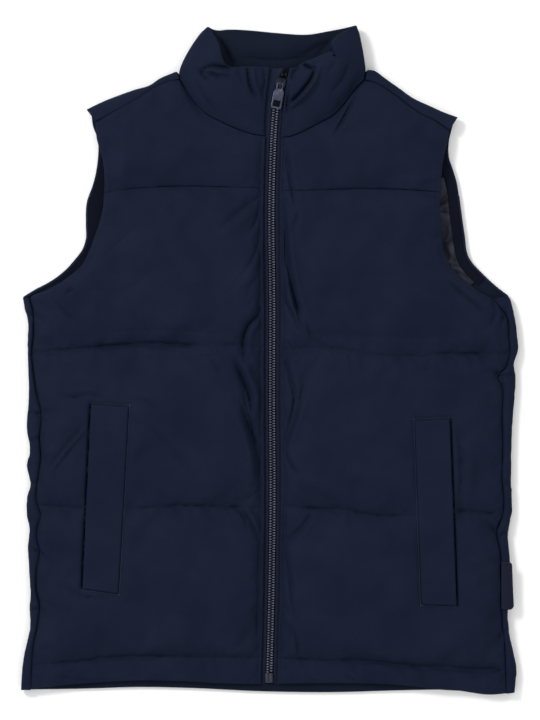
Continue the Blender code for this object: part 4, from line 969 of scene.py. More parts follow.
def meeting(side, band, t, edge):
    """Where a row meets the front's outer edge: the place along it, and the point."""
    above = np.maximum.accumulate(edge[:, 1] - row_height(side, band, t, edge[:, 0]))
    at = float(np.interp(0, above, np.arange(len(edge))))
    return at, picked(edge, at)


def front_rows():
    """(band, t) of each row, hem first; bands lie between the quilting seams."""
    rows = [(0, 0.0)]
    for band, count in enumerate(ROWS_BETWEEN):
        rows += [(band, float(t)) for t in spaced(count, 0.5)[1:]]
    return rows


def front_plan(side):
    """Grid of plan points, from the outer edge (first column) to the zip."""
    edge = front_edge(side)
    grid, places = [], []
    for band, t in front_rows():
        at, outer = meeting(side, band, t, edge)
        y = row_height(side, band, t, 0)
        inner_x = zip_x(y) + SIDES[side] * ZIP_HALF
        x = outer[0] + (inner_x - outer[0]) * COLUMNS
        grid.append(np.column_stack([x, row_height(side, band, t, x)]))
        places.append(at / len(edge))
    return np.array(grid), np.array(places)


def coons(low, high, first, last):
    """A grid between four edges that meet at their corners."""
    u = np.linspace(0, 1, len(low))[None, :, None]
    v = np.linspace(0, 1, len(first))[:, None, None]
    blend = (1 - v) * low[None] + v * high[None] + (1 - u) * first[:, None] + u * last[:, None]
    corners = (1 - v) * ((1 - u) * low[0] + u * low[-1]) + v * ((1 - u) * high[0] + u * high[-1])
    return blend - corners


def yoke_plan(side):
    """Grid from the yoke seam up to the shoulder seam and the neck seam."""
    low = FRONT_PLANS[side][0][-1].copy()
    shut = step_up((np.abs(low[:, 0] - low[-1, 0]) - YOKE_SEAM_FADES[side]) / 18)
    low[:, 1] += SEAM_GAP * (0.3 + 0.7 * shut)
    edge = front_edge(side)
    start = meeting(side, len(ROWS_BETWEEN) - 1, 1.0, edge)[0]
    armhole = edge[int(math.ceil(start)):]
    first = path(np.vstack([low[:1], armhole[::12], armhole[-1:]]), np.linspace(0, 1, YOKE_ROWS + 1))
    ends = np.linspace(0, 1, HALF + 1)
    shoulder = path(points_of(SHOULDER_SEAM[side]), ends)
    neck = path(points_of(NECK_SEAM[side]), ends)
    high = np.vstack([shoulder, neck[1:]])
    first[-1] = high[0]
    zip_y = np.linspace(low[-1][1], high[-1][1], YOKE_ROWS + 1)
    last = np.column_stack([zip_x(zip_y) + SIDES[side] * ZIP_HALF, zip_y])
    last[0], last[-1] = low[-1], high[-1]
    return coons(low, high, first, last)


FRONT_PLANS = {side: front_plan(side) for side in SIDES}
YOKE_PLANS = {side: yoke_plan(side) for side in SIDES}


def armhole_lift(side, x, y, edge_x):
    """How far the front stands up off the back near the armhole."""
    low, high = FRONT_ARMHOLE[side]["y"][0], FRONT_ARMHOLE[side]["y"][-1]
    bump = np.sin(math.pi * np.clip((y - low) / (high - low), 0, 1)) ** ARMHOLE_FULLNESS
    return ARMHOLE_LIFT * bump * np.exp(-(((x - edge_x) / ARMHOLE_REACH) ** 2))


def front_low(side, grid):
    """Height of the underside of a front or its yoke."""
    x, y = grid[..., 0], grid[..., 1]
    return FRONT_LOW + rise(np.minimum(y, RISE_TOP)) + armhole_lift(side, x, y, grid[:, :1, 0])


def inside_welt(side, x, y):
    """How far each point is inside the outline of a pocket's welt, and from its free edge."""
    corners = points_of(WELTS[side])
    edges = []
    for a, b in zip(corners, np.roll(corners, -1, axis=0)):
        run = (b - a) / np.linalg.norm(b - a)
        edges.append(SIDES[side] * (run[0] * (y - a[1]) - run[1] * (x - a[0])))
    return np.min(edges, axis=0), edges[3]


def covered(side, x, y):
    """1 under a pocket's welt, falling to 0 beside it."""
    return step_up((inside_welt(side, x, y)[0] + WELT_BORDER) / WELT_BORDER)


def quilted_swell(side, x, y, flat):
    """How far a front's padding swells above its seams, in mm and as a share of its full height."""
    seams = [across(level[side], x) for level in LEVELS]
    crown, free = np.zeros_like(x), np.ones_like(x)
    row = 0
    for band, count in enumerate(ROWS_BETWEEN):
        rows = slice(row, row + count + 1)
        below, above = y[rows] - seams[band][rows], seams[band + 1][rows] - y[rows]
        if band == 0:
            below = below + SEAM_SOFTNESS / 4
        soft = SEAM_SOFTNESS * (1 + 0.25 * noise(x[rows] / 38, y[rows] * 0 + band, 11))
        pinch = pinched(side, band, x[rows], below, soft, CROWNS[band])
        pinch = pinch * pinched(side, band + 1, x[rows], above, soft, CROWNS[band])
        pinch = pinch + (WELT_SWELL - pinch) * flat[rows] ** 2
        crown[rows] = CROWNS[band] * pinch
        free[rows] = np.minimum(free[rows], pinch)
        row += count
    return crown, free


def along_the_seams(thick, side, x, y, flat, edges):
    """The front's thickness with the puckers, folds and gathers of its three quilting seams."""
    for k, size in enumerate(QUILTING_PUCKERS, 1):
        away = y - across(LEVELS[k][side], x)
        thick += size * puckers(x, away, 15 + 5 * k) * (1 - flat) * edges**0.5
        thick -= drawn_in(side, k, x, away) * (1 - flat)
        folds = fine_folds(x, away, 115 + 5 * k + SIDES[side]) * step_up(np.abs(away) / 3)
        thick -= FINE_FOLD * folds * (1 - flat) * edges
    return thick


def zip_row_groove(zip_away, y):
    """The groove of the stitched row beside the zip, uneven from stitch to stitch."""
    return np.exp(-(((zip_away - ROW_FROM_ZIP) / 1.1) ** 2)) * (0.8 + 0.5 * noise(y / 2.2, y * 0, 57))


def front_thick(side, grid):
    """Thickness of the front's padding at each point, with its quilting and all its wrinkles."""
    x, y = grid[..., 0], grid[..., 1]
    flat = covered(side, x, y)
    side_away = np.abs(x - x[:, :1])
    zip_away = np.abs(x - x[:, -1:])
    from_strip, past_strip = zip_away - EDGE_FLAT, step_up(zip_away / EDGE_FLAT - 1)
    crown, free = quilted_swell(side, x, y, flat)
    edges = swell(side_away, EDGE_SOFTNESS) * swell(from_strip, ZIP_SOFTNESS)
    free = free * edges * (1 - flat)
    thick = EDGE_THICK + crown * edges
    border = step_up((thick - EDGE_THICK) / 2 + 0.3) * (1 - flat)
    thick = creased(thick, x, y, CREASES, border)
    thick = creased(thick, x, y, SIDE_CREASES, step_up(side_away / 3))
    thick = along_the_seams(thick, side, x, y, flat, edges)
    inside, from_slit = inside_welt(side, x, y)
    beside = np.exp(-(((inside + 0.7) / 1.3) ** 2))
    thick -= beside * np.where(np.abs(from_slit - inside) < 0.01, POCKET_SLIT, WELT_SUNK)
    thick -= zip_row_groove(zip_away, y)
    thick += 1.9 * puckers(y, side_away, 41, pitch=8.0, reach=16.0) * (1 - flat)
    thick += 1.3 * puckers(y, from_strip, 47, pitch=9.0, reach=15.0, lean=0.8) * past_strip
    folds = fine_folds(y, from_strip, 141 + SIDES[side], pitch=16.0, length=24.0, lean=0.9)
    thick -= FINE_FOLD * 1.4 * folds * past_strip
    folds = fine_folds(y, side_away, 151 + SIDES[side], pitch=10.0, length=14.0, lean=0.6)
    thick -= FINE_FOLD * folds * step_up(side_away / 4)
    thick += slack(x, y, 53) * free
    return np.maximum(thick, THINNEST)


def yoke_thick(side, grid):
    """The same for a yoke."""
    x, y = grid[..., 0], grid[..., 1]
    from_seam, from_top, from_armhole, from_zip = edge_distances(grid)
    place = np.arange(grid.shape[1])[None]
    full = SHOULDER_FULL * (1 - step_up((place - HALF + 8) / 10))
    loose = yoke_slack(side, x) / YOKE_CROWN
    lift = (loose + (1 - loose) * swell(from_seam, SEAM_SOFTNESS)) * swell(from_top + full, SEAM_SOFTNESS)
    lift *= swell(from_armhole, EDGE_SOFTNESS) * swell(from_zip - EDGE_FLAT, ZIP_SOFTNESS)
    thick = EDGE_THICK + YOKE_CROWN * lift
    thick = creased(thick, x, y, CREASES, step_up((thick - EDGE_THICK) / 2 + 0.3))
    thick += 0.8 * puckers(x, from_seam, 60) + 0.8 * puckers(x + 0.5 * y, from_top, 66, pitch=8.0)
    thick += 0.9 * puckers(y, from_armhole, 72, pitch=8.0, reach=12.0) + slack(x, y, 78) * lift
    thick -= zip_row_groove(from_zip, y)
    return np.maximum(thick, THINNEST)


def held_places(side, name, grid, rows):
    """1 at the points of a panel that its seams or its welt hold, 0 where the cloth is free."""
    held = np.zeros(grid.shape[:2])
    held[[0, -1]] = held[:, [0, -1]] = 1
    held[rows] = 1
    if name == f"front_{side}":
        held[covered(side, grid[..., 0], grid[..., 1]) > 0.5] = 1
    return held


def blown_up(side, name, grid, thick, seam_rows):
    """Cloth simulation: a coarse copy of a panel, held at its seams and pushed up by its filling.

    Returns how far the cloth moved up or down at each point of the panel's fine grid, in mm.
    """
    count = grid.shape[0] - 1
    rows = sorted(set(np.linspace(0, count, count // SIM_STEP + 1).round().astype(int)) | set(seam_rows))
    cols = np.linspace(0, grid.shape[1] - 1, (grid.shape[1] - 1) // SIM_STEP + 1).round().astype(int)
    near = np.ix_(rows, cols)
    plan, height = grid[near], thick[near]
    held = held_places(side, name, plan, [rows.index(k) for k in seam_rows])
    faces = cells(np.arange(held.size).reshape(held.shape))
    if SIDES[side] > 0:
        faces = [face[::-1] for face in faces]
    points = np.dstack([plan, height]).reshape(-1, 3) * SIM_SCALE
    mesh = bpy.data.meshes.new("cloth")
    mesh.from_pydata(points.tolist(), [], faces)
    cloth = put_in_scene("cloth", mesh)
    pins = cloth.vertex_groups.new(name="held")
    pins.add([int(k) for k in np.flatnonzero(held.ravel())], 1.0, "REPLACE")
    sim = cloth.modifiers.new("cloth", "CLOTH")
    for setting, value in SIM_CLOTH.items():
        setattr(sim.settings, setting, value)
    sim.settings.effector_weights.gravity = 0
    sim.collision_settings.use_collision = False
    sim.point_cache.frame_start, sim.point_cache.frame_end = 1, SIM_FRAMES
    for frame_number in range(1, SIM_FRAMES + 1):
        bpy.context.scene.frame_set(frame_number)
    shown = cloth.evaluated_get(bpy.context.evaluated_depsgraph_get())
    settled = np.empty(len(points) * 3)
    shown.data.vertices.foreach_get("co", settled)
    bpy.context.scene.frame_set(1)
    bpy.data.objects.remove(cloth, do_unlink=True)
    moved = (settled.reshape(-1, 3) - points)[:, 2].reshape(held.shape) / SIM_SCALE
    over_rows = np.array([np.interp(np.arange(grid.shape[1]), cols, line) for line in moved])
    moved = np.array([np.interp(np.arange(count + 1), rows, line) for line in over_rows.T]).T
    for _ in range(3):
        moved[1:-1] = (moved[:-2] + 2 * moved[1:-1] + moved[2:]) / 4
        moved[:, 1:-1] = (moved[:, :-2] + 2 * moved[:, 1:-1] + moved[:, 2:]) / 4
    return SIM_MOST * np.tanh(moved / SIM_MOST)


def rounded_edges(low, top, edge):
    """Draws a wall's two faces together at its edges, as turned or sewn cloth is round there."""
    middle = low + EDGE_THICK * EDGE_MEETING
    gap = 0.15
    return middle - gap + (low - middle + gap) * edge, middle + gap + (top - middle - gap) * edge


def edge_distances(grid):
    """How far each point of a grid is from its first and last row and first and last column."""
    edges = (grid[:1], grid[-1:], grid[:, :1], grid[:, -1:])
    return [np.linalg.norm(grid[..., :2] - edge[..., :2], axis=-1) for edge in edges]


def edge_form(grid, eases, radii=(EDGE_ROUND,) * 4):
    """1 inside, falling along a quarter circle at each edge, as far as its ease says."""
    form = np.ones(grid.shape[:2])
    for away, ease, radius in zip(edge_distances(grid), eases, radii):
        form = np.minimum(form, 1 - (1 - rounded(away, radius)) * ease)
    return form


def seam_ease(y, seed):
    """How open a side seam looks: tight in places and hardly to be seen in others."""
    return 0.3 + 0.45 * np.clip(noise(y / 24, y * 0 + 0.3, seed) * 1.8, -0.65, 1)


def yoke_seam_ease(side, x):
    """How open the yoke's seam looks: it closes up towards the zip."""
    from_zip = np.abs(x - x[:, -1:])
    shown = step_up((from_zip - YOKE_SEAM_FADES[side]) / YOKE_SEAM_FADE_SPAN)
    return YOKE_SEAM_SHUT + YOKE_SEAM_OPEN * shown


def panel(name, side, grid, thick, seam_rows, eases, radii=(EDGE_ROUND,) * 4):
    """A front or a yoke, blown up by its filling and drawn together round its edges."""
    thick = np.maximum(thick + blown_up(side, name, grid, thick, seam_rows), THINNEST)
    low = front_low(side, grid)
    low, top = rounded_edges(low, low + thick, edge_form(grid, eases, radii))
    padded_piece(name, np.dstack([grid, top]), np.dstack([grid, low]), 0.5)


def front_yoke(side):
    """The shoulder seam is flat, and the neck seam is rounder towards the shoulder."""
    grid = YOKE_PLANS[side]
    place = np.arange(grid.shape[1])[None] + 0 * grid[..., 0]
    on_neck = step_up((place - HALF + 4) / 8)
    upper = SHOULDER_SEAM_OPEN[side] + (0.9 - SHOULDER_SEAM_OPEN[side]) * on_neck
    tucked = on_neck * step_up((HALF * 1.5 - place) / (HALF * 0.3))
    eases = (yoke_seam_ease(side, grid[..., 0]), upper, 0.8, 0.9)
    radii = (EDGE_ROUND, EDGE_ROUND * (1 + NECK_TUCK * tucked), EDGE_ROUND, EDGE_ROUND)
    panel(f"front_yoke_{side}", side, grid, yoke_thick(side, grid), [], eases, radii)


def front(side):
    """The hem is turned, and the yoke's seam closes up towards the zip."""
    grid = FRONT_PLANS[side][0]
    x, y = grid[..., 0], grid[..., 1]
    eases = (0.8, yoke_seam_ease(side, x), seam_ease(y, SIDE_SEAM_SEED + SIDES[side]), 0.9)
    seams = [int(row) for row in np.cumsum(ROWS_BETWEEN)[:-1]]
    panel(f"front_{side}", side, grid, front_thick(side, grid), seams, eases)


# ---------------- the back and its rolled edges
ARC = np.radians(np.linspace(90, -90, 19))


def wrap(seam, fold, low, edge_thick=EDGE_THICK, crown_over=LIP_CROWN, ease=0.8):
    """Outer and inner points from a seam on top, round the fold, to the underside."""
    width = np.linalg.norm(seam - fold)
    inward = (seam - fold) / width
    reach = min(FOLD_REACH, FOLD_SHARE * width)
    near = min(FOLD_WALL, FOLD_SHARE * width)
    crown = low + crown_over
    top = fold + inward * reach
    half = edge_thick * EDGE_MEETING
    outer, inner = [], []
    for t in ROLL_STEPS:
        lift = edge_thick + (crown_over - edge_thick) * math.sin(t * math.pi / 2) ** 0.8
        edge = float(rounded(t * np.linalg.norm(seam - top), EDGE_ROUND)) if edge_thick > 2 else 1.0
        edge = 1 - (1 - edge) * ease
        place = seam + (top - seam) * t
        outer.append([*place, low + half + (lift - half) * edge + 0.1])
        inner.append([*(seam + inward * -0.1 * t), low + half * (1 - edge)])
    for angle in ARC:
        out = fold + inward * reach * (1 - math.cos(angle))
        outer.append([*out, crown / 2 * (1 + math.sin(angle))])
        back_in = fold + inward * (near + FOLD_INSIDE * width * (1 - math.cos(angle)))
        inner.append([*back_in, (BACK_THICK + low) / 2 + (low - BACK_THICK) / 2 * math.sin(angle)])
    return outer, inner


def turned_edge(edge, inward):
    """The same points where the back ends by itself: its cloth turned over and stitched down."""
    seam = edge + inward * TURNED_WIDTH
    return wrap(seam, edge, BACK_THICK + TURNED_CLEAR, SHEET_THICK, SHEET_THICK)


def back_edge(side):
    """For each row of the back, its rolled edge; the side seam ends at the armhole."""
    grid, places = FRONT_PLANS[side]
    edge = front_edge(side)
    corner = np.argmin(np.abs(edge[:, 1] - SIDE_SEAM[side]["y"][-1])) / len(edge)
    armhole = points_of(BACK_ARMHOLE[side])
    seam_x = np.interp(BACK_YOKE_Y, armhole[:, 1], armhole[:, 0])
    below_yoke = np.vstack([armhole[armhole[:, 1] < BACK_YOKE_Y - 3], [seam_x, BACK_YOKE_Y]])
    fold = SIDE_FOLD[side]
    out = SIDES[side]
    made = []
    for k, at in enumerate(places):
        if at <= corner:
            seam = grid[k, 0] + [out * SEAM_GAP, 0]
            folded = np.array([curve(fold["y"], fold["x"], seam[1]), seam[1]])
            ease = float(seam_ease(np.array(seam[1]), SIDE_SEAM_SEED + SIDES[side]))
            made.append(wrap(seam, folded, FRONT_LOW, ease=ease))
        else:
            share = (at - corner) / (places[-1] - corner)
            before, here, after = path(below_yoke, [share - 0.01, share, share + 0.01])
            run = (after - before) / np.linalg.norm(after - before)
            run[0] *= 1 - step_up((share - SQUARE_FROM) / SQUARE_SPAN)
            made.append(turned_edge(here, np.array([-run[1], run[0]]) * out))
    return made


def groove_underside(outer, heights):
    """Presses quilting seams at those heights into the cloth that the vest lies on."""
    under = outer[..., 2] < 0.5
    up = np.zeros_like(outer[..., 1])
    for height in heights:
        up = np.maximum(up, GROOVE_DEEP * np.exp(-np.abs(outer[..., 1] - height) / GROOVE_WIDE))
    outer[..., 2] += up * under


def wrinkled_roll(outer, free, seed):
    """Puckers a rolled edge along its own outward direction, less on what it lies on."""
    along = np.cumsum(np.linalg.norm(np.diff(outer[:, 20, :], axis=0, prepend=outer[:1, 20, :]), axis=1))
    around = np.cumsum(np.linalg.norm(np.diff(outer, axis=1, prepend=outer[:, :1]), axis=2), axis=1)
    normal = np.cross(np.gradient(outer, axis=1), np.gradient(outer, axis=0))
    normal /= np.linalg.norm(normal, axis=2)[..., None] + 1e-9
    wave = puckers(along[:, None] + 0 * around, around, seed, pitch=8.0, reach=30.0, lean=0.3)
    return outer + normal * (wave * free)[..., None]


def across_the_back(rolls, layer, z):
    """One layer of the back (0 outer, 1 inner), from the right's rolled edge to the left's."""
    rows = []
    for right, left in zip(rolls["right"], rolls["left"]):
        a, b = np.array(right[layer], float), np.array(left[layer][::-1], float)
        between = a[-1] + (b[0] - a[-1]) * UNDERSIDE[:, None]
        between[:, 2] = z
        rows.append(np.vstack([a, between, b]))
    return np.array(rows)


def fitted_to_its_ends(grid):
    """Moves the lowest rows of the back to its hem, and the highest to the yoke's seam."""
    hem = across(BACK_HEM, grid[0, :, 0])
    top = grid[-1, :, 1].copy()
    old = grid[0, :, 1].copy()
    near = np.exp(-np.maximum(grid[..., 1] - old[None], 0) / 12)
    grid[..., 1] += (hem - old)[None] * near
    near = np.exp(-np.maximum(top[None] - grid[..., 1], 0) / 6)
    grid[..., 1] += (BACK_YOKE_Y - top)[None] * near


def from_ends(grid):
    """How far each point is from the nearer of a grid's first and last rows, up the body."""
    y = grid[..., 1]
    return np.minimum(y - y[:1], y[-1:] - y)


def closed_at_its_ends(grid, ends, lying):
    """Draws the lying part of a layer to the middle of the back's thickness at its two ends."""
    grid[..., 2] += (BACK_THICK / 2 - grid[..., 2]) * (1 - rounded(ends, 3.0)) * lying * 0.9


def roll_freedom(outer, ends):
    """How freely the rolled edges pucker: less by the ends, the armholes and the label."""
    y = outer[..., 1]
    free = step_up(ends / 8) * step_up(outer[..., 2] / 4)
    side_seam = y < min(SIDE_SEAM[side]["y"][-1] for side in SIDES)
    free = free * np.where(side_seam, 1.0, 0.15)
    near = step_up((y - LABEL["low"]) / LABEL_EASE + 1) * step_up((LABEL["high"] - y) / LABEL_EASE + 1)
    return free * np.where(outer[..., 0] > 0, 1 - near, 1)


def back():
    """The back lies under the fronts, and its two sides roll round to the side seams on top."""
    rolls = {side: back_edge(side) for side in SIDES}
    count = len(rolls["right"][0][0])
    outer, inner = across_the_back(rolls, 0, 0.0), across_the_back(rolls, 1, BACK_THICK)
    fitted_to_its_ends(outer)
    fitted_to_its_ends(inner)
    pressed = np.exp(-np.maximum(outer[..., 1] - outer[:1, :, 1], 0) / 10)
    outer[..., 2] -= np.maximum(outer[..., 2] - HEM_ROLL_TOP, 0) * pressed
    ends = from_ends(outer)
    free = roll_freedom(outer, ends)
    smooth_roll = outer.copy()
    for edge, seed in ((slice(None, count), 81), (slice(-count, None), 87)):
        outer[:, edge] = wrinkled_roll(smooth_roll[:, edge], free[:, edge], seed)
    dent = crease_depth(outer[..., 0], outer[..., 1], SIDE_CREASES) * step_up((outer[..., 2] - 5) / 5)
    outer[..., 2] -= np.clip(dent, -1, 3.5)
    seams = [np.interp(0, level["right"]["x"], level["right"]["y"]) for level in LEVELS[1:4]]
    groove_underside(outer, seams)
    closed_at_its_ends(outer, ends, outer[..., 2] < BACK_THICK / 2)
    closed_at_its_ends(inner, from_ends(inner), inner[..., 2] < BACK_THICK + 0.1)
    # Its inner faces take the painted shade copy of the shell cloth.
    padded_piece("back", outer, inner, 0.4, 4, lengths(outer), "collar inside")


def shoulder_columns(side):
    """The back yoke's two layers at each point along a shoulder, from its seam round the fold."""
    ends = np.linspace(0, 1, HALF + 1)
    seams, folds = (path(points_of(line[side]), ends) for line in (SHOULDER_SEAM, SHOULDER_FOLD))
    thick = EDGE_THICK + YOKE_CROWN * swell(SHOULDER_FULL, SEAM_SOFTNESS)
    columns = []
    for seam, fold in zip(seams, folds):
        up = (fold - seam) / np.linalg.norm(fold - seam)
        columns.append(wrap(seam + up * SHOULDER_GAP, fold, FRONT_LOW + rise(RISE_TOP), thick,
                            max(LIP_CROWN, thick + 0.4), SHOULDER_SEAM_OPEN[side]))
    return columns


def neck_columns():
    """The same along the back of the neck, where the yoke ends by itself."""
    neck = path(points_of(BACK_NECK), NECK_COLUMNS)
    columns = []
    for point in neck:
        corner = min(abs(point[0] - neck[0][0]), abs(point[0] - neck[-1][0]))
        lean = -np.sign(point[0]) * CORNER_LEAN * math.exp(-((corner / CORNER_SPAN) ** 2))
        columns.append(turned_edge(point, np.array([lean, -math.sqrt(1 - lean * lean)])))
    return columns


def back_yoke():
    """Rows run from the shoulder seam round the shoulder fold and down the underside."""
    columns = shoulder_columns("right") + neck_columns() + shoulder_columns("left")[::-1]
    grids = []
    for layer, z in zip(zip(*columns), (0.0, BACK_THICK)):
        profile = np.array(layer, float).transpose(1, 0, 2)
        top = profile[-1][:, :2]
        low_x = np.linspace(BACK_LOW_X[0], BACK_LOW_X[1], len(top))
        low = np.column_stack([low_x, np.full(len(top), BACK_YOKE_Y + SEAM_GAP)])
        edges = []
        for side, end in (("right", 0), ("left", -1)):
            points = points_of(BACK_ARMHOLE[side])
            keep = points[(points[:, 1] > BACK_YOKE_Y + 5) & (points[:, 1] < top[end][1] - 8)]
            line = np.vstack([low[end], keep + [SIDES[side] * -1.0, 0], top[end]])
            edges.append(path(line, np.linspace(0, 1, 41))[::-1])
        plan = coons(top, low, *edges)[1:]
        grids.append(np.vstack([profile, np.dstack([plan, np.full(plan.shape[:2], z)])]))
    outer, inner = grids
    groove_underside(outer, [BACK_YOKE_Y])
    padded_piece("back_yoke", outer, inner, 0.4, 4, lengths(outer))


# ---------------- collar
COLLAR_LEVELS = spaced(74, 0.25)


def level_line(table, level, given, at):
    """One level of the collar, from a table of its points at given fractions."""
    return np.column_stack([curve(given, table[f"{level}_{axis}"], at) for axis in "xyz"])


def collar_station_curves():
    """Base, middle and top of the collar for each station, from zip edge round to zip edge."""
    at = np.linspace(0, 1, HALF + 1)
    parts = {}
    for side in SIDES:
        table = COLLAR_FRONT[side]
        base = YOKE_PLANS[side][-1][HALF:][::-1]
        base = base + inward_of(base, side) * SEAM_GAP
        base[:, 0] -= SIDES[side] * NECK_CORNER_CLEAR * step_up((at - 0.85) / 0.15)
        base = np.column_stack([base, np.full(len(base), FRONT_LOW + rise(RISE_TOP) + EDGE_THICK / 2)])
        mid = level_line(table, "mid", table["at"], at)
        top = level_line(table, "top", table.get("top_at", table["at"]), at)
        parts[side] = np.array([base, mid, top])
    given, fine = np.linspace(0, 1, len(COLLAR_BACK["base_x"])), np.linspace(0, 1, 121)
    behind = np.array([level_line(COLLAR_BACK, level, given, fine) for level in ("base", "mid", "top")])
    return np.concatenate([parts["right"], behind, parts["left"][:, ::-1]], axis=1)


def collar_thick(level, run, end):
    """Thickness by height (0 to 1) and run (mm): thin at its edges and squeezed where it folds over."""
    thick = EDGE_THICK + (COLLAR_THICK - EDGE_THICK) * swell(level, COLLAR_FILL)
    taper = step_up((level - 1 + COLLAR_TAPER) / COLLAR_TAPER)
    thick = thick + (COLLAR_EDGE - thick) * taper
    thick = thick * (0.12 + 0.88 * rounded((1 - level) * COLLAR_HEIGHT, COLLAR_EDGE / 2))
    for fold in (HALF + 6, len(run) - HALF - 7):
        away = (run - run[fold]) / COLLAR_FOLD_SPAN
        thick = thick * (1 - COLLAR_FOLD_THIN * np.exp(-(away**2)))[None]
    thick = COLLAR_END + (thick - COLLAR_END) * swell(end, EDGE_SOFTNESS)[None]
    thick = thick * (0.12 + 0.88 * rounded(end, EDGE_ROUND))[None]
    return thick * (0.3 + 0.7 * rounded(level * COLLAR_HEIGHT, 1.5))


def collar():
    """Its two faces stand either side of a surface through its base, middle and top."""
    low, mid, high = collar_station_curves()
    w = COLLAR_LEVELS[:, None, None]
    middle = low * (2 * w - 1) * (w - 1) + mid * 4 * w * (1 - w) + high * w * (2 * w - 1)
    along, up = np.gradient(middle, axis=1), np.gradient(middle, axis=0)
    normal = np.cross(up, along)
    normal /= np.linalg.norm(normal, axis=-1)[..., None]
    stations = middle.shape[1]
    on_front = ((np.arange(stations) <= HALF) | (np.arange(stations) >= stations - HALF - 1))[None]
    level, run = COLLAR_LEVELS[:, None], run_length(mid)
    flat = (1 - step_up(level / 0.2)) * on_front
    normal = normal * (1 - flat[..., None]) + np.array([0, 0, 1]) * flat[..., None]
    end = np.minimum(run, run[-1] - run)
    thick = collar_thick(level, run, end)
    free = step_up(level / 0.08) * step_up((1 - level) / 0.05) * step_up(end / 6)[None]
    length, height = run[None] + 0 * level, level * COLLAR_HEIGHT + 0 * run[None]
    faces = []
    for sign, seed in ((1, 91), (-1, 97)):
        face = middle + sign * normal * thick[..., None] / 2
        x, y = face[..., 0], face[..., 1]
        upward = step_up(sign * normal[..., 2] / 0.5)
        dent = crease_depth(x, y, COLLAR_CREASES) * on_front
        dent = (dent + crease_depth(x, y, COLLAR_INSIDE_CREASES) * ~on_front) * upward
        wrinkle = 0.9 * puckers(length, height, seed, pitch=8.0, reach=20.0)
        wrinkle = wrinkle + 0.5 * puckers(length, COLLAR_HEIGHT - height, seed + 3)
        wrinkle = wrinkle + 0.7 * slack(length, height, seed + 6)
        move = (wrinkle * (0.4 + 0.6 * upward) - np.minimum(dent, COLLAR_DEEPEST)) * free
        face = face + sign * normal * move[..., None]
        face[..., 2] = np.maximum(face[..., 2], 0)
        faces.append(face)
    # The collar's inner face takes the painted shade copy of the shell cloth.
    padded_piece("collar", *faces, 0.5, 1, np.dstack([length, height]), "collar inside")


# ---------------- what lies on the panels
def under_welt(side, plan):
    """Height of the front's outside at plan points under a welt."""
    x, y = plan[..., 0], plan[..., 1]
    grid = FRONT_PLANS[side][0]
    edge_x = np.interp(y, grid[:, 0, 1], grid[:, 0, 0])
    zip_edge = zip_x(y) + SIDES[side] * ZIP_HALF
    heights = WELT_SWELL * FRONT_CROWN * swell(np.abs(x - edge_x), EDGE_SOFTNESS)
    heights *= swell(np.abs(x - zip_edge) - EDGE_FLAT, EDGE_SOFTNESS)
    return FRONT_LOW + EDGE_THICK + heights


def thin_sheet(name, plan, low, thick, slot, uv=None):
    """A sheet with rounded edges over a grid of plan points."""
    edge = rounded(np.min(edge_distances(plan), axis=0), thick / 2)
    middle = low + thick / 2
    top = middle + thick / 2 * (0.25 + 0.75 * edge)
    under = middle - thick / 2 * (0.25 + 0.75 * edge)
    made = wall(name, np.dstack([plan, top]), np.dstack([plan, under]), slot, 2, uv)
    worn_by(made, name)
    surface = lengths(np.dstack([plan, top]))
    return made


def welt_plan(side):
    """Grid over a welt, from its free edge by the side seam to its sewn one, top first."""
    v, u = spaced(110, 0.3)[:, None, None], spaced(22, 0.4)[None, :, None]
    corners = points_of(WELTS[side])
    top = corners[0] + (corners[1] - corners[0]) * u
    low = corners[3] + (corners[2] - corners[3]) * u
    return top + (low - top) * v, u[..., 0], v[..., 0]


def welts():
    """Flat doubled strips over the pocket mouths; the edge by the side seam is free."""
    for side in SIDES:
        plan, u, v = welt_plan(side)
        lift = WELT_CLEAR + WELT_FREE_LIFT * (1 - u) ** 2 * np.sin(math.pi * v)
        lift = lift + 0.25 * (1 + noise(plan[..., 1] / 14, plan[..., 0] / 22, 101 + SIDES[side]))
        sunk = 0.35 * np.exp(-(((1 - u) * WELT_WIDE - ROW_FROM_WELT) / 0.8) ** 2)
        cloth = lengths(np.dstack([plan, 0 * plan[..., 0]]))
        low = under_welt(side, plan) + lift - sunk
        thin_sheet(f"welt_{side}", plan, low, WELT_THICK, "shell", cloth)


def inside_strip(name, side, start, width, ends, slot):
    """A sheet on the back's inside that follows the armhole from ends[0] to ends[1] in height."""
    line = path(points_of(BACK_ARMHOLE[side]), np.linspace(0, 1, 801))
    y = np.linspace(*ends, 141)
    edge = picked(line, np.interp(y, line[:, 1], np.arange(len(line))))
    offsets = start + width * spaced(30, 0)
    plan = edge[:, None] + inward_of(edge, side)[:, None] * offsets[None, :, None]
    wave = 0.3 * (1 + noise(plan[..., 1] / 9, plan[..., 0] / 12, 107 + len(name)))
    thin_sheet(name, plan, BACK_THICK + SEAM_GAP + wave, SHEET_THICK, slot)


def inside_pieces():
    """The facing at each armhole, and the lining beyond the left one."""
    start = TURNED_WIDTH + SEAM_GAP
    for side in SIDES:
        width = FACING_WIDTH[side] - start
        # The facings take the painted shade facing cloth.
        inside_strip(f"armhole_facing_{side}", side, start, width, FACING_ENDS, "inside")
    inside_strip("lining", "left", FACING_WIDTH["left"] + SEAM_GAP, LINING_WIDTH, LINING_ENDS, "lining")


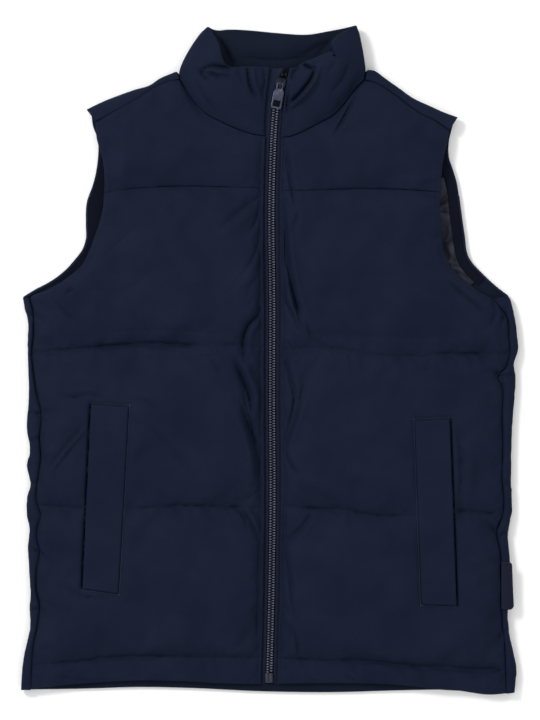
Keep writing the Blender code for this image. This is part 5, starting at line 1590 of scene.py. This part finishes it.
def side_label():
    """A blank rubber label sewn into the left side seam; it lies on the roll and stands out past it."""
    u, v = spaced(36, 0.5)[None, :], spaced(70, 0.5)[:, None]
    outer = curve((0, 1), LABEL_OUTER, v)
    wide, high = outer - LABEL_FROM, LABEL["high"] - LABEL["low"]
    x = LABEL_FROM + wide * u
    y = LABEL["low"] + high * v + LABEL_SLANT * u
    corner = LABEL_CORNERS[0] - (LABEL_CORNERS[0] - LABEL_CORNERS[1]) * v
    over = np.maximum(corner - (1 - u) * wide, 0)
    cut_in = (corner - np.sqrt(np.maximum(corner**2 - over**2, 0))) / high
    y = y + cut_in * high * (1 - 2 * v)
    z = curve(*LABEL_HEIGHTS, x)
    plan = np.dstack([x, y])
    away = np.min(edge_distances(plan)[:2] + edge_distances(plan)[3:], axis=0)
    border = np.vstack([plan[0], plan[-1], plan[:, 0], plan[:, -1]])
    edge = rounded(away, 0.9)
    raised = LABEL_RIM * (step_up((away - 0.5) / 0.4) - step_up((away - 1.7) / 0.5))
    low = z + LABEL_THICK * 0.5 * (1 - edge) * 0.7
    top = z + LABEL_THICK * (1 - 0.35 * (1 - edge)) + raised
    made = wall("side_label", np.dstack([plan, top]), np.dstack([plan, low]), "label", 2)
    # The face inside the border is darker, which leaves the rim as a painted highlight.
    refinish(made.data, "label face",
             lambda face: np.min(np.linalg.norm(border - plan_point(face), axis=1)) > LABEL_BORDER)
    worn_by(made, "side_label")


# ---------------- zip
def front_edge_x(side, y):
    """The front's and then the collar's edge beside the zip."""
    body = zip_x(y) + SIDES[side] * ZIP_HALF
    table = COLLAR_FRONT[side]
    neck = NECK_SEAM[side]["y"][-1]
    up = [neck, table["mid_y"][0], table["top_y"][0]]
    stand = curve(up, [NECK_SEAM[side]["x"][-1], table["mid_x"][0], table["top_x"][0]], y)
    return np.where(y < neck, body, stand)


def by_the_teeth(face):
    """Whether a face of a zip tape is on its corded edge, which is coloured as painted shadow under the
    teeth.
    """
    x, y = plan_point(face)
    return abs(x - float(zip_x(y))) < SHADOWED_CORD_HALF


def zip_tapes():
    """The tapes run from under the teeth to under the fronts' edges, sunk a little at both."""
    y = np.linspace(ZIP_FOOT, ZIP_HEAD, 241)
    across_tape = spaced(26, 0.2)
    for side, sign in SIDES.items():
        near = zip_x(y) + sign * TAPE_PARTING / 2
        far = front_edge_x(side, y) + sign * TAPE_UNDER
        x = near[:, None] + (far - near)[:, None] * across_tape
        plan = np.dstack([x, np.tile(y[:, None], len(across_tape))])
        out = np.abs(x - zip_x(y)[:, None])
        low = (zip_low(y) - SEAM_GAP - TAPE_THICK)[:, None] - TAPE_SUNK * (1 - step_up((out - 3.9) / 1.2))
        low -= TAPE_DIP * step_up((out - ZIP_HALF + 2.2) / 2)
        cloth = np.dstack([np.abs(x - near[:, None]), plan[..., 1]])
        made = thin_sheet(f"zip_tape_{side}", plan, low, TAPE_THICK, "tape", cloth)
        # The corded edges take the painted shadow finish.
        refinish(made.data, "cord", by_the_teeth)


def socket(modifier, name, value):
    """Sets a Geometry Nodes modifier's input by the identifier of the socket with that name."""
    for item in modifier.node_group.interface.items_tree:
        if item.item_type == "SOCKET" and item.in_out == "INPUT" and item.name == name:
            modifier[item.identifier] = value


def row_tree():
    """Geometry Nodes: one piece set again and again along each line of a mesh of edges."""
    tree = bpy.data.node_groups.new("row of pieces", "GeometryNodeTree")
    face = tree.interface
    face.new_socket("Lines", in_out="INPUT", socket_type="NodeSocketGeometry")
    for name, kind, value in (("Piece", "NodeSocketObject", None), ("Pitch", "NodeSocketFloat", 0.003),
                              ("Wobble", "NodeSocketFloat", 0.0), ("Seed", "NodeSocketInt", 1),
                              ("Finish", "NodeSocketMaterial", None)):
        made = face.new_socket(name, in_out="INPUT", socket_type=kind)
        if value is not None:
            made.default_value = value
    face.new_socket("Row", in_out="OUTPUT", socket_type="NodeSocketGeometry")

    def node(kind, inputs=(), **settings):
        return add_node(tree, kind, dict(inputs), **settings)

    given = node("NodeGroupInput")
    line = node("GeometryNodeMeshToCurve", {"Mesh": given["Lines"]})
    steps = node("GeometryNodeResampleCurve", {"Curve": line["Curve"], "Length": given["Pitch"]},
                 mode="LENGTH")
    along = node("GeometryNodeInputTangent")
    turn = node("FunctionNodeAxesToRotation", {"Primary Axis": along[0], "Secondary Axis": (0, 0, 1)},
                primary_axis="Y", secondary_axis="Z")
    opposite = node("ShaderNodeMath", {0: given["Wobble"], 1: -1}, operation="MULTIPLY")
    limits = {"Min": opposite[0], "Max": given["Wobble"], "Seed": given["Seed"]}
    chance = node("FunctionNodeRandomValue", limits, data_type="FLOAT_VECTOR")
    wobble = node("FunctionNodeRotateRotation",
                  {"Rotation": turn["Rotation"], "Rotate By": chance["Value"]}, rotation_space="LOCAL")
    piece = node("GeometryNodeObjectInfo", {"As Instance": True, "Object": given["Piece"]})
    placed = node("GeometryNodeInstanceOnPoints", {
        "Points": steps["Curve"], "Instance": piece["Geometry"], "Rotation": wobble["Rotation"]})
    real = node("GeometryNodeRealizeInstances", {"Geometry": placed["Instances"]})
    finish = node("GeometryNodeSetMaterial", {"Geometry": real["Geometry"], "Material": given["Finish"]})
    node("NodeGroupOutput", {"Row": finish["Geometry"]})
    return tree


def plain_piece(name, verts, faces):
    """One tooth or stitch round its own middle, from points in mm, to be repeated."""
    mesh = outward_mesh(name, verts * MM, faces)
    shaded(mesh, 40)
    return put_in_scene(name, mesh)


def rings(profile):
    """Verts and faces of a closed tube through rings of points, capped at both ends."""
    profile = np.asarray(profile, float)
    count, around = profile.shape[:2]
    faces = [tuple(range(around)), tuple(range((count - 1) * around, count * around))[::-1]]
    for k in range(count - 1):
        for j in range(around):
            a, b = k * around + j, k * around + (j + 1) % around
            faces.append((a, b, b + around, a + around))
    return profile.reshape(-1, 3), faces


def rows_of(name, lines, piece, pitch, wobble, seed, finish):
    """Lays a piece along each line of points (mm) and returns the whole as one plain mesh."""
    verts, edges = [], []
    for line in lines:
        edges += [(len(verts) + k, len(verts) + k + 1) for k in range(len(line) - 1)]
        verts += [tuple(point) for point in line]
    mesh = bpy.data.meshes.new(name + " lines")
    mesh.from_pydata(in_metres(verts).tolist(), edges, [])
    guide = put_in_scene(name + " lines", mesh)
    rows = guide.modifiers.new("rows", "NODES")
    rows.node_group = ROW_TREE
    for socket_name, value in (("Piece", piece), ("Pitch", pitch * MM), ("Wobble", wobble),
                               ("Seed", seed), ("Finish", FINISHES[finish])):
        socket(rows, socket_name, value)
    bpy.context.view_layer.update()
    shown = guide.evaluated_get(bpy.context.evaluated_depsgraph_get())
    made = put_in_scene(name, bpy.data.meshes.new_from_object(shown))
    for spare in (guide, piece):
        bpy.data.objects.remove(spare, do_unlink=True)
    return made


def tooth():
    """One moulded tooth: a full root block, a narrow neck and a lower head."""
    profile = []
    for x, half, top in zip(TOOTH["x"], TOOTH["half_width"], TOOTH["top"]):
        up = [(x, half, TOOTH_FOOT), (x, half, 0.62 * top), (x, 0.8 * half, 0.965 * top),
              (x, 0.3 * half, top)]
        profile.append([(x, -y, z) for _, y, z in up] + up[::-1])
    return plain_piece("tooth", *rings(profile))


def zip_teeth():
    """Two rows of moulded teeth, half a pitch apart, that mesh over the tapes' edges."""
    foot = ZIP_BOX["top"] + SEAM_GAP + 1
    made = []
    for side, sign in SIDES.items():
        start = foot + (TOOTH_PITCH / 2 if side == "left" else 0)
        y = np.linspace(start, SLIDER_MOUTH - 1, 400)
        slope = np.gradient(zip_x(y), y)
        off = sign * ROOT_FROM_MIDDLE
        line = np.column_stack([zip_x(y) + off, y - off * slope, zip_low(y) + 0.02])
        along = run_length(line)
        whole = math.floor(along[-1] / TOOTH_PITCH) * TOOTH_PITCH
        line = picked(line, np.linspace(0, whole, 400), along)
        if side == "left":
            line = line[::-1]
        made.append(rows_of(f"zip teeth {side}", [line], tooth(), TOOTH_PITCH, 0.02, 5, "teeth"))
    worn_by(joined("moulded_teeth", made), "zip_teeth")


def joined(name, parts):
    """Several meshes as one object."""
    whole = bmesh.new()
    for part in parts:
        whole.from_mesh(part.data)
    mesh = bpy.data.meshes.new(name)
    whole.to_mesh(mesh)
    whole.free()
    for material in parts[0].data.materials:
        mesh.materials.append(material)
    for part in parts:
        bpy.data.objects.remove(part, do_unlink=True)
    return put_in_scene(name, mesh)


def stitch():
    """One stitch of thread: a short round bar whose ends dip into the cloth."""
    half, radius = STITCH["long"] / 2, STITCH["radius"]
    profile = []
    for y, size, drop in ((-half, 0.45, -0.35), (-half * 0.7, 0.95, 0), (half * 0.7, 0.95, 0),
                          (half, 0.45, -0.35)):
        ring = [(size * radius * math.cos(a), y, size * radius * math.sin(a) + drop * radius * 2)
                for a in np.linspace(0, math.tau, 7)[:-1]]
        profile.append(ring)
    return plain_piece("stitch", *rings(profile))


def surface_over(*nodes):
    """What is found under a plan point: the height of the highest of these pieces there."""
    trees = []
    for node in nodes:
        mesh = SEWN[node].data
        faces = [face.vertices for face in mesh.polygons]
        trees.append(BVHTree.FromPolygons([vert.co for vert in mesh.vertices], faces))

    def height(x, y):
        place = Vector(((x - MIDDLE[0]) * MM, (y - MIDDLE[1]) * MM, ABOVE_ALL))
        hits = [tree.ray_cast(place, Vector((0, 0, -1)))[0] for tree in trees]
        found = [hit.z for hit in hits if hit is not None]
        return max(found) / MM if found else None
    return height


def on_surface(points, height, sink):
    """The plan points laid on a surface, as one or more lines where it is found."""
    lines = [[]]
    for x, y in points:
        z = height(x, y)
        if z is None:
            lines.append([])
        else:
            lines[-1].append((x, y, z - sink))
    return [line for line in lines if len(line) > 3]


def stitching():
    """All the rows of stitches that show: quilting, hem, zip edges, armholes and welts."""
    lines, highlight_lines = [], []
    for side, sign in SIDES.items():
        on_front, on_yoke = surface_over(f"front_{side}"), surface_over(f"front_yoke_{side}")
        on_both = surface_over(f"front_{side}", f"front_yoke_{side}")
        grid = FRONT_PLANS[side][0]
        for row in np.cumsum(ROWS_BETWEEN)[:-1]:
            lines += on_surface(path(grid[row][2:-6], np.linspace(0, 1, 260)), on_front, 0.05)
        for plan, surface, count in ((grid, on_front, 500), (YOKE_PLANS[side], on_yoke, 80)):
            beside = plan[:, -1] + [sign * ROW_FROM_ZIP, 0]
            lines += on_surface(path(beside[2:-2], np.linspace(0, 1, count)), surface, 0.1)
        armhole = front_edge(side)
        start = np.argmin(np.abs(armhole[:, 1] - FRONT_ARMHOLE[side]["y"][0]))
        edge = armhole[start::6]
        row_line = edge + inward_of(edge, side) * ROW_FROM_ARMHOLE
        lines += on_surface(row_line[2:-3], on_both, 0.1)
        corners = points_of(WELTS[side])
        loop = corners + np.sign(corners - corners.mean(axis=0)) * ROW_FROM_WELT
        for a, b in zip(loop[:-1], loop[1:]):
            highlight_lines += on_surface(a + (b - a) * np.linspace(0, 1, 90)[:, None], on_front, 0.0)
    # The welts' stitches take the painted highlight thread.
    for name, rows, seed, finish in (("stitching", lines, 9, "thread"),
                                     ("pocket_stitching", highlight_lines, 15, "welt thread")):
        worn_by(rows_of(name, rows, stitch(), STITCH["pitch"], 0.05, seed, finish), None)


def prism(name, outline, low, high):
    """An upright block over an outline, in mm in the hinge's own axes."""
    shape = bmesh.new()
    ends = [[shape.verts.new((x * MM, y * MM, z * MM)) for x, y in outline] for z in (low, high)]
    shape.faces.new(ends[0][::-1])
    shape.faces.new(ends[1])
    for k in range(len(outline)):
        n = (k + 1) % len(outline)
        shape.faces.new((ends[0][k], ends[0][n], ends[1][n], ends[1][k]))
    bmesh.ops.recalc_face_normals(shape, faces=shape.faces)
    mesh = bpy.data.meshes.new(name)
    shape.to_mesh(mesh)
    shape.free()
    return put_in_scene(name, mesh)


def mirrored(outline):
    """A closed outline from the half widths up one side of it."""
    half = list(zip(outline["half_width"], outline["y"]))
    return half + [(-x, y) for x, y in half[::-1]]


def oblong(half_width, low, high):
    return [(-half_width, low), (half_width, low), (half_width, high), (-half_width, high)]


def on_floor_of(recess, height):
    """Tells whether a face lies on the floor of a recess, with its rounded edge."""
    def chosen(face):
        x, y, z = (value / MM for value in face.center)
        inside = abs(x) < recess[1][0] and recess[0][1] < y < recess[2][1]
        return inside and 0 < z < height + 0.35
    return chosen


def turned_part(name, blocks, bevel, finish, place, in_recess=None):
    """Blocks joined and cut, their edges rounded, as one mesh; in_recess chooses a recess's floor."""
    first = prism(name, *blocks[0][1:])
    first.data.materials.append(FINISHES[finish])
    spare = [first]
    for k, (how, outline, low, high) in enumerate(blocks[1:]):
        other = prism(f"{name} {k}", outline, low, high)
        spare.append(other)
        change = first.modifiers.new(f"{how} {k}", "BOOLEAN")
        change.operation, change.solver, change.object = how, "EXACT", other
    edges = first.modifiers.new("rounded edges", "BEVEL")
    edges.width, edges.segments, edges.limit_method = bevel * MM, 3, "ANGLE"
    edges.angle_limit, edges.harden_normals = math.radians(35), True
    bpy.context.view_layer.update()
    mesh = bpy.data.meshes.new_from_object(first.evaluated_get(bpy.context.evaluated_depsgraph_get()))
    mesh.materials.clear()
    mesh.materials.append(FINISHES[finish])
    if in_recess:
        refinish(mesh, "recess", in_recess)
    mesh.transform(place)
    shaded(mesh, 50)
    for piece in spare:
        bpy.data.objects.remove(piece, do_unlink=True)
    return put_in_scene(f"metal_{name}", mesh)


def set_at(x, y, z):
    """The move to a point of the vest, in mm."""
    return Matrix.Translation(Vector((x - MIDDLE[0], y - MIDDLE[1], z)) * MM)


def slider_frame():
    """Where the slider's hinge is and how it is turned."""
    place = set_at(*HINGE, float(zip_low(HINGE[1])) + HINGE_UP)
    turn = Matrix.Rotation(math.radians(PULL_TURN), 4, "Z")
    return place @ turn @ Matrix.Rotation(math.radians(PULL_TILT), 4, "X")


def slider_and_pull():
    """The slider's body with its bail, and the pull that hangs on the bail."""
    low, eye = SEAM_GAP - HINGE_UP, EYE["half_height"]
    bail = oblong(BAIL["half_width"], BAIL["low"], BAIL["high"])
    blocks = [
        ("BODY", mirrored(SLIDER_OUTLINE), low, -eye),
        ("UNION", bail, -eye - BAIL["thick"] / 2, eye + BAIL["thick"]),
        ("DIFFERENCE", oblong(9, -EYE["half_length"], EYE["half_length"]), -eye, eye),
        ("DIFFERENCE", oblong(1.0, -9, -5.2), -2.4, 3),
    ]
    # The slider's body takes the painted shade copy of the pull's metal.
    worn_by(turned_part("slider", blocks, 0.35, "slider metal", slider_frame()), "zip_slider")
    half = PULL_THICK / 2
    window = oblong(PULL_WINDOW["half_width"], PULL_WINDOW["low"], PULL_WINDOW["high"])
    recess = oblong(PULL_RECESS["half_width"], PULL_RECESS["low"], PULL_RECESS["high"])
    floor_height = half - PULL_RECESS["deep"]
    blocks = [
        ("BODY", mirrored(PULL_OUTLINE), -half, half),
        ("DIFFERENCE", window, -3, 3),
        ("DIFFERENCE", recess, floor_height, 3),
    ]
    pull = turned_part("pull", blocks, 0.3, "metal", slider_frame(), on_floor_of(recess, floor_height))
    worn_by(pull, "zip_pull", "pull")


def box_and_stops():
    """The box at the foot of the zip, with the slot its pin goes into, and the stops at the top."""
    middle, half = (ZIP_BOX["top"] + ZIP_BOX["low"]) / 2, (ZIP_BOX["top"] - ZIP_BOX["low"]) / 2
    place = set_at(float(zip_x(ZIP_FOOT)), middle, float(zip_low(ZIP_FOOT)))
    blocks = [("BODY", oblong(ZIP_BOX["half_width"], -half, half), 0, ZIP_BOX["thick"]),
              ("DIFFERENCE", oblong(0.5, -half + 1.5, half + 2), ZIP_BOX["thick"] - 1.2, 9)]
    worn_by(turned_part("box", blocks, 0.5, "box", place), "zip_box")
    y = ZIP_STOP["y"]
    outline = oblong(ZIP_STOP["half_width"], -ZIP_STOP["half_length"], ZIP_STOP["half_length"])
    for side, sign in SIDES.items():
        place = set_at(float(zip_x(y)) + sign * ZIP_STOP["off"], y, float(zip_low(y)))
        blocks = [("BODY", outline, 0, ZIP_STOP["thick"])]
        # The stops take the painted shade finish.
        worn_by(turned_part(f"stop_{side}", blocks, 0.5, "stops", place), f"zip_stop_{side}")


# ---------------- the setting
def floor():
    """A plain pale sheet that the vest lies on."""
    mesh = bpy.data.meshes.new("floor")
    corners = [(x, y, FLOOR_HEIGHT) for x, y in oblong(FLOOR_HALF, -FLOOR_HALF, FLOOR_HALF)]
    mesh.from_pydata(corners, [], [(0, 1, 2, 3)])
    paper = Finish("pale paper", 0.9, 0.1)
    cloud = paper.clouds(paper.place(), 3.0)
    mesh.materials.append(paper.done(paper.mix(cloud, (0.93, 0.93, 0.93, 1), (0.95, 0.95, 0.95, 1))))
    put_in_scene("floor", mesh)


def light(name, place, size, power):
    """A round lamp that points at the middle of the vest."""
    lamp = bpy.data.lights.new(name, "AREA")
    lamp.shape = "DISK"
    lamp.size = size
    lamp.energy = power
    made = put_in_scene(name, lamp)
    made.location = place
    made.rotation_euler = (-Vector(place)).to_track_quat("-Z", "Y").to_euler()


def studio():
    world = bpy.data.worlds.new("studio")
    world.use_nodes = True
    sky = world.node_tree.nodes["Background"]
    sky.inputs["Color"].default_value = (1, 1, 1, 1)
    sky.inputs["Strength"].default_value = WORLD_LIGHT
    bpy.context.scene.world = world
    for lamp in LIGHTS:
        light(*lamp)
    bpy.context.scene.view_settings.view_transform = "Standard"


def camera():
    """Looks straight down on the vest."""
    lens = bpy.data.cameras.new("camera")
    lens.sensor_fit = "VERTICAL"
    lens.sensor_height = SENSOR
    lens.lens = SENSOR * CAMERA_HIGH / VIEW_TALL
    made = put_in_scene("camera", lens)
    made.location = (*CAMERA_AT, CAMERA_HIGH)
    bpy.context.scene.camera = made


ROW_TREE = row_tree()
for worn_side in SIDES:
    front(worn_side)
    front_yoke(worn_side)
back()
back_yoke()
collar()
welts()
inside_pieces()
side_label()
zip_tapes()
zip_teeth()
stitching()
slider_and_pull()
box_and_stops()
floor()
studio()
camera()
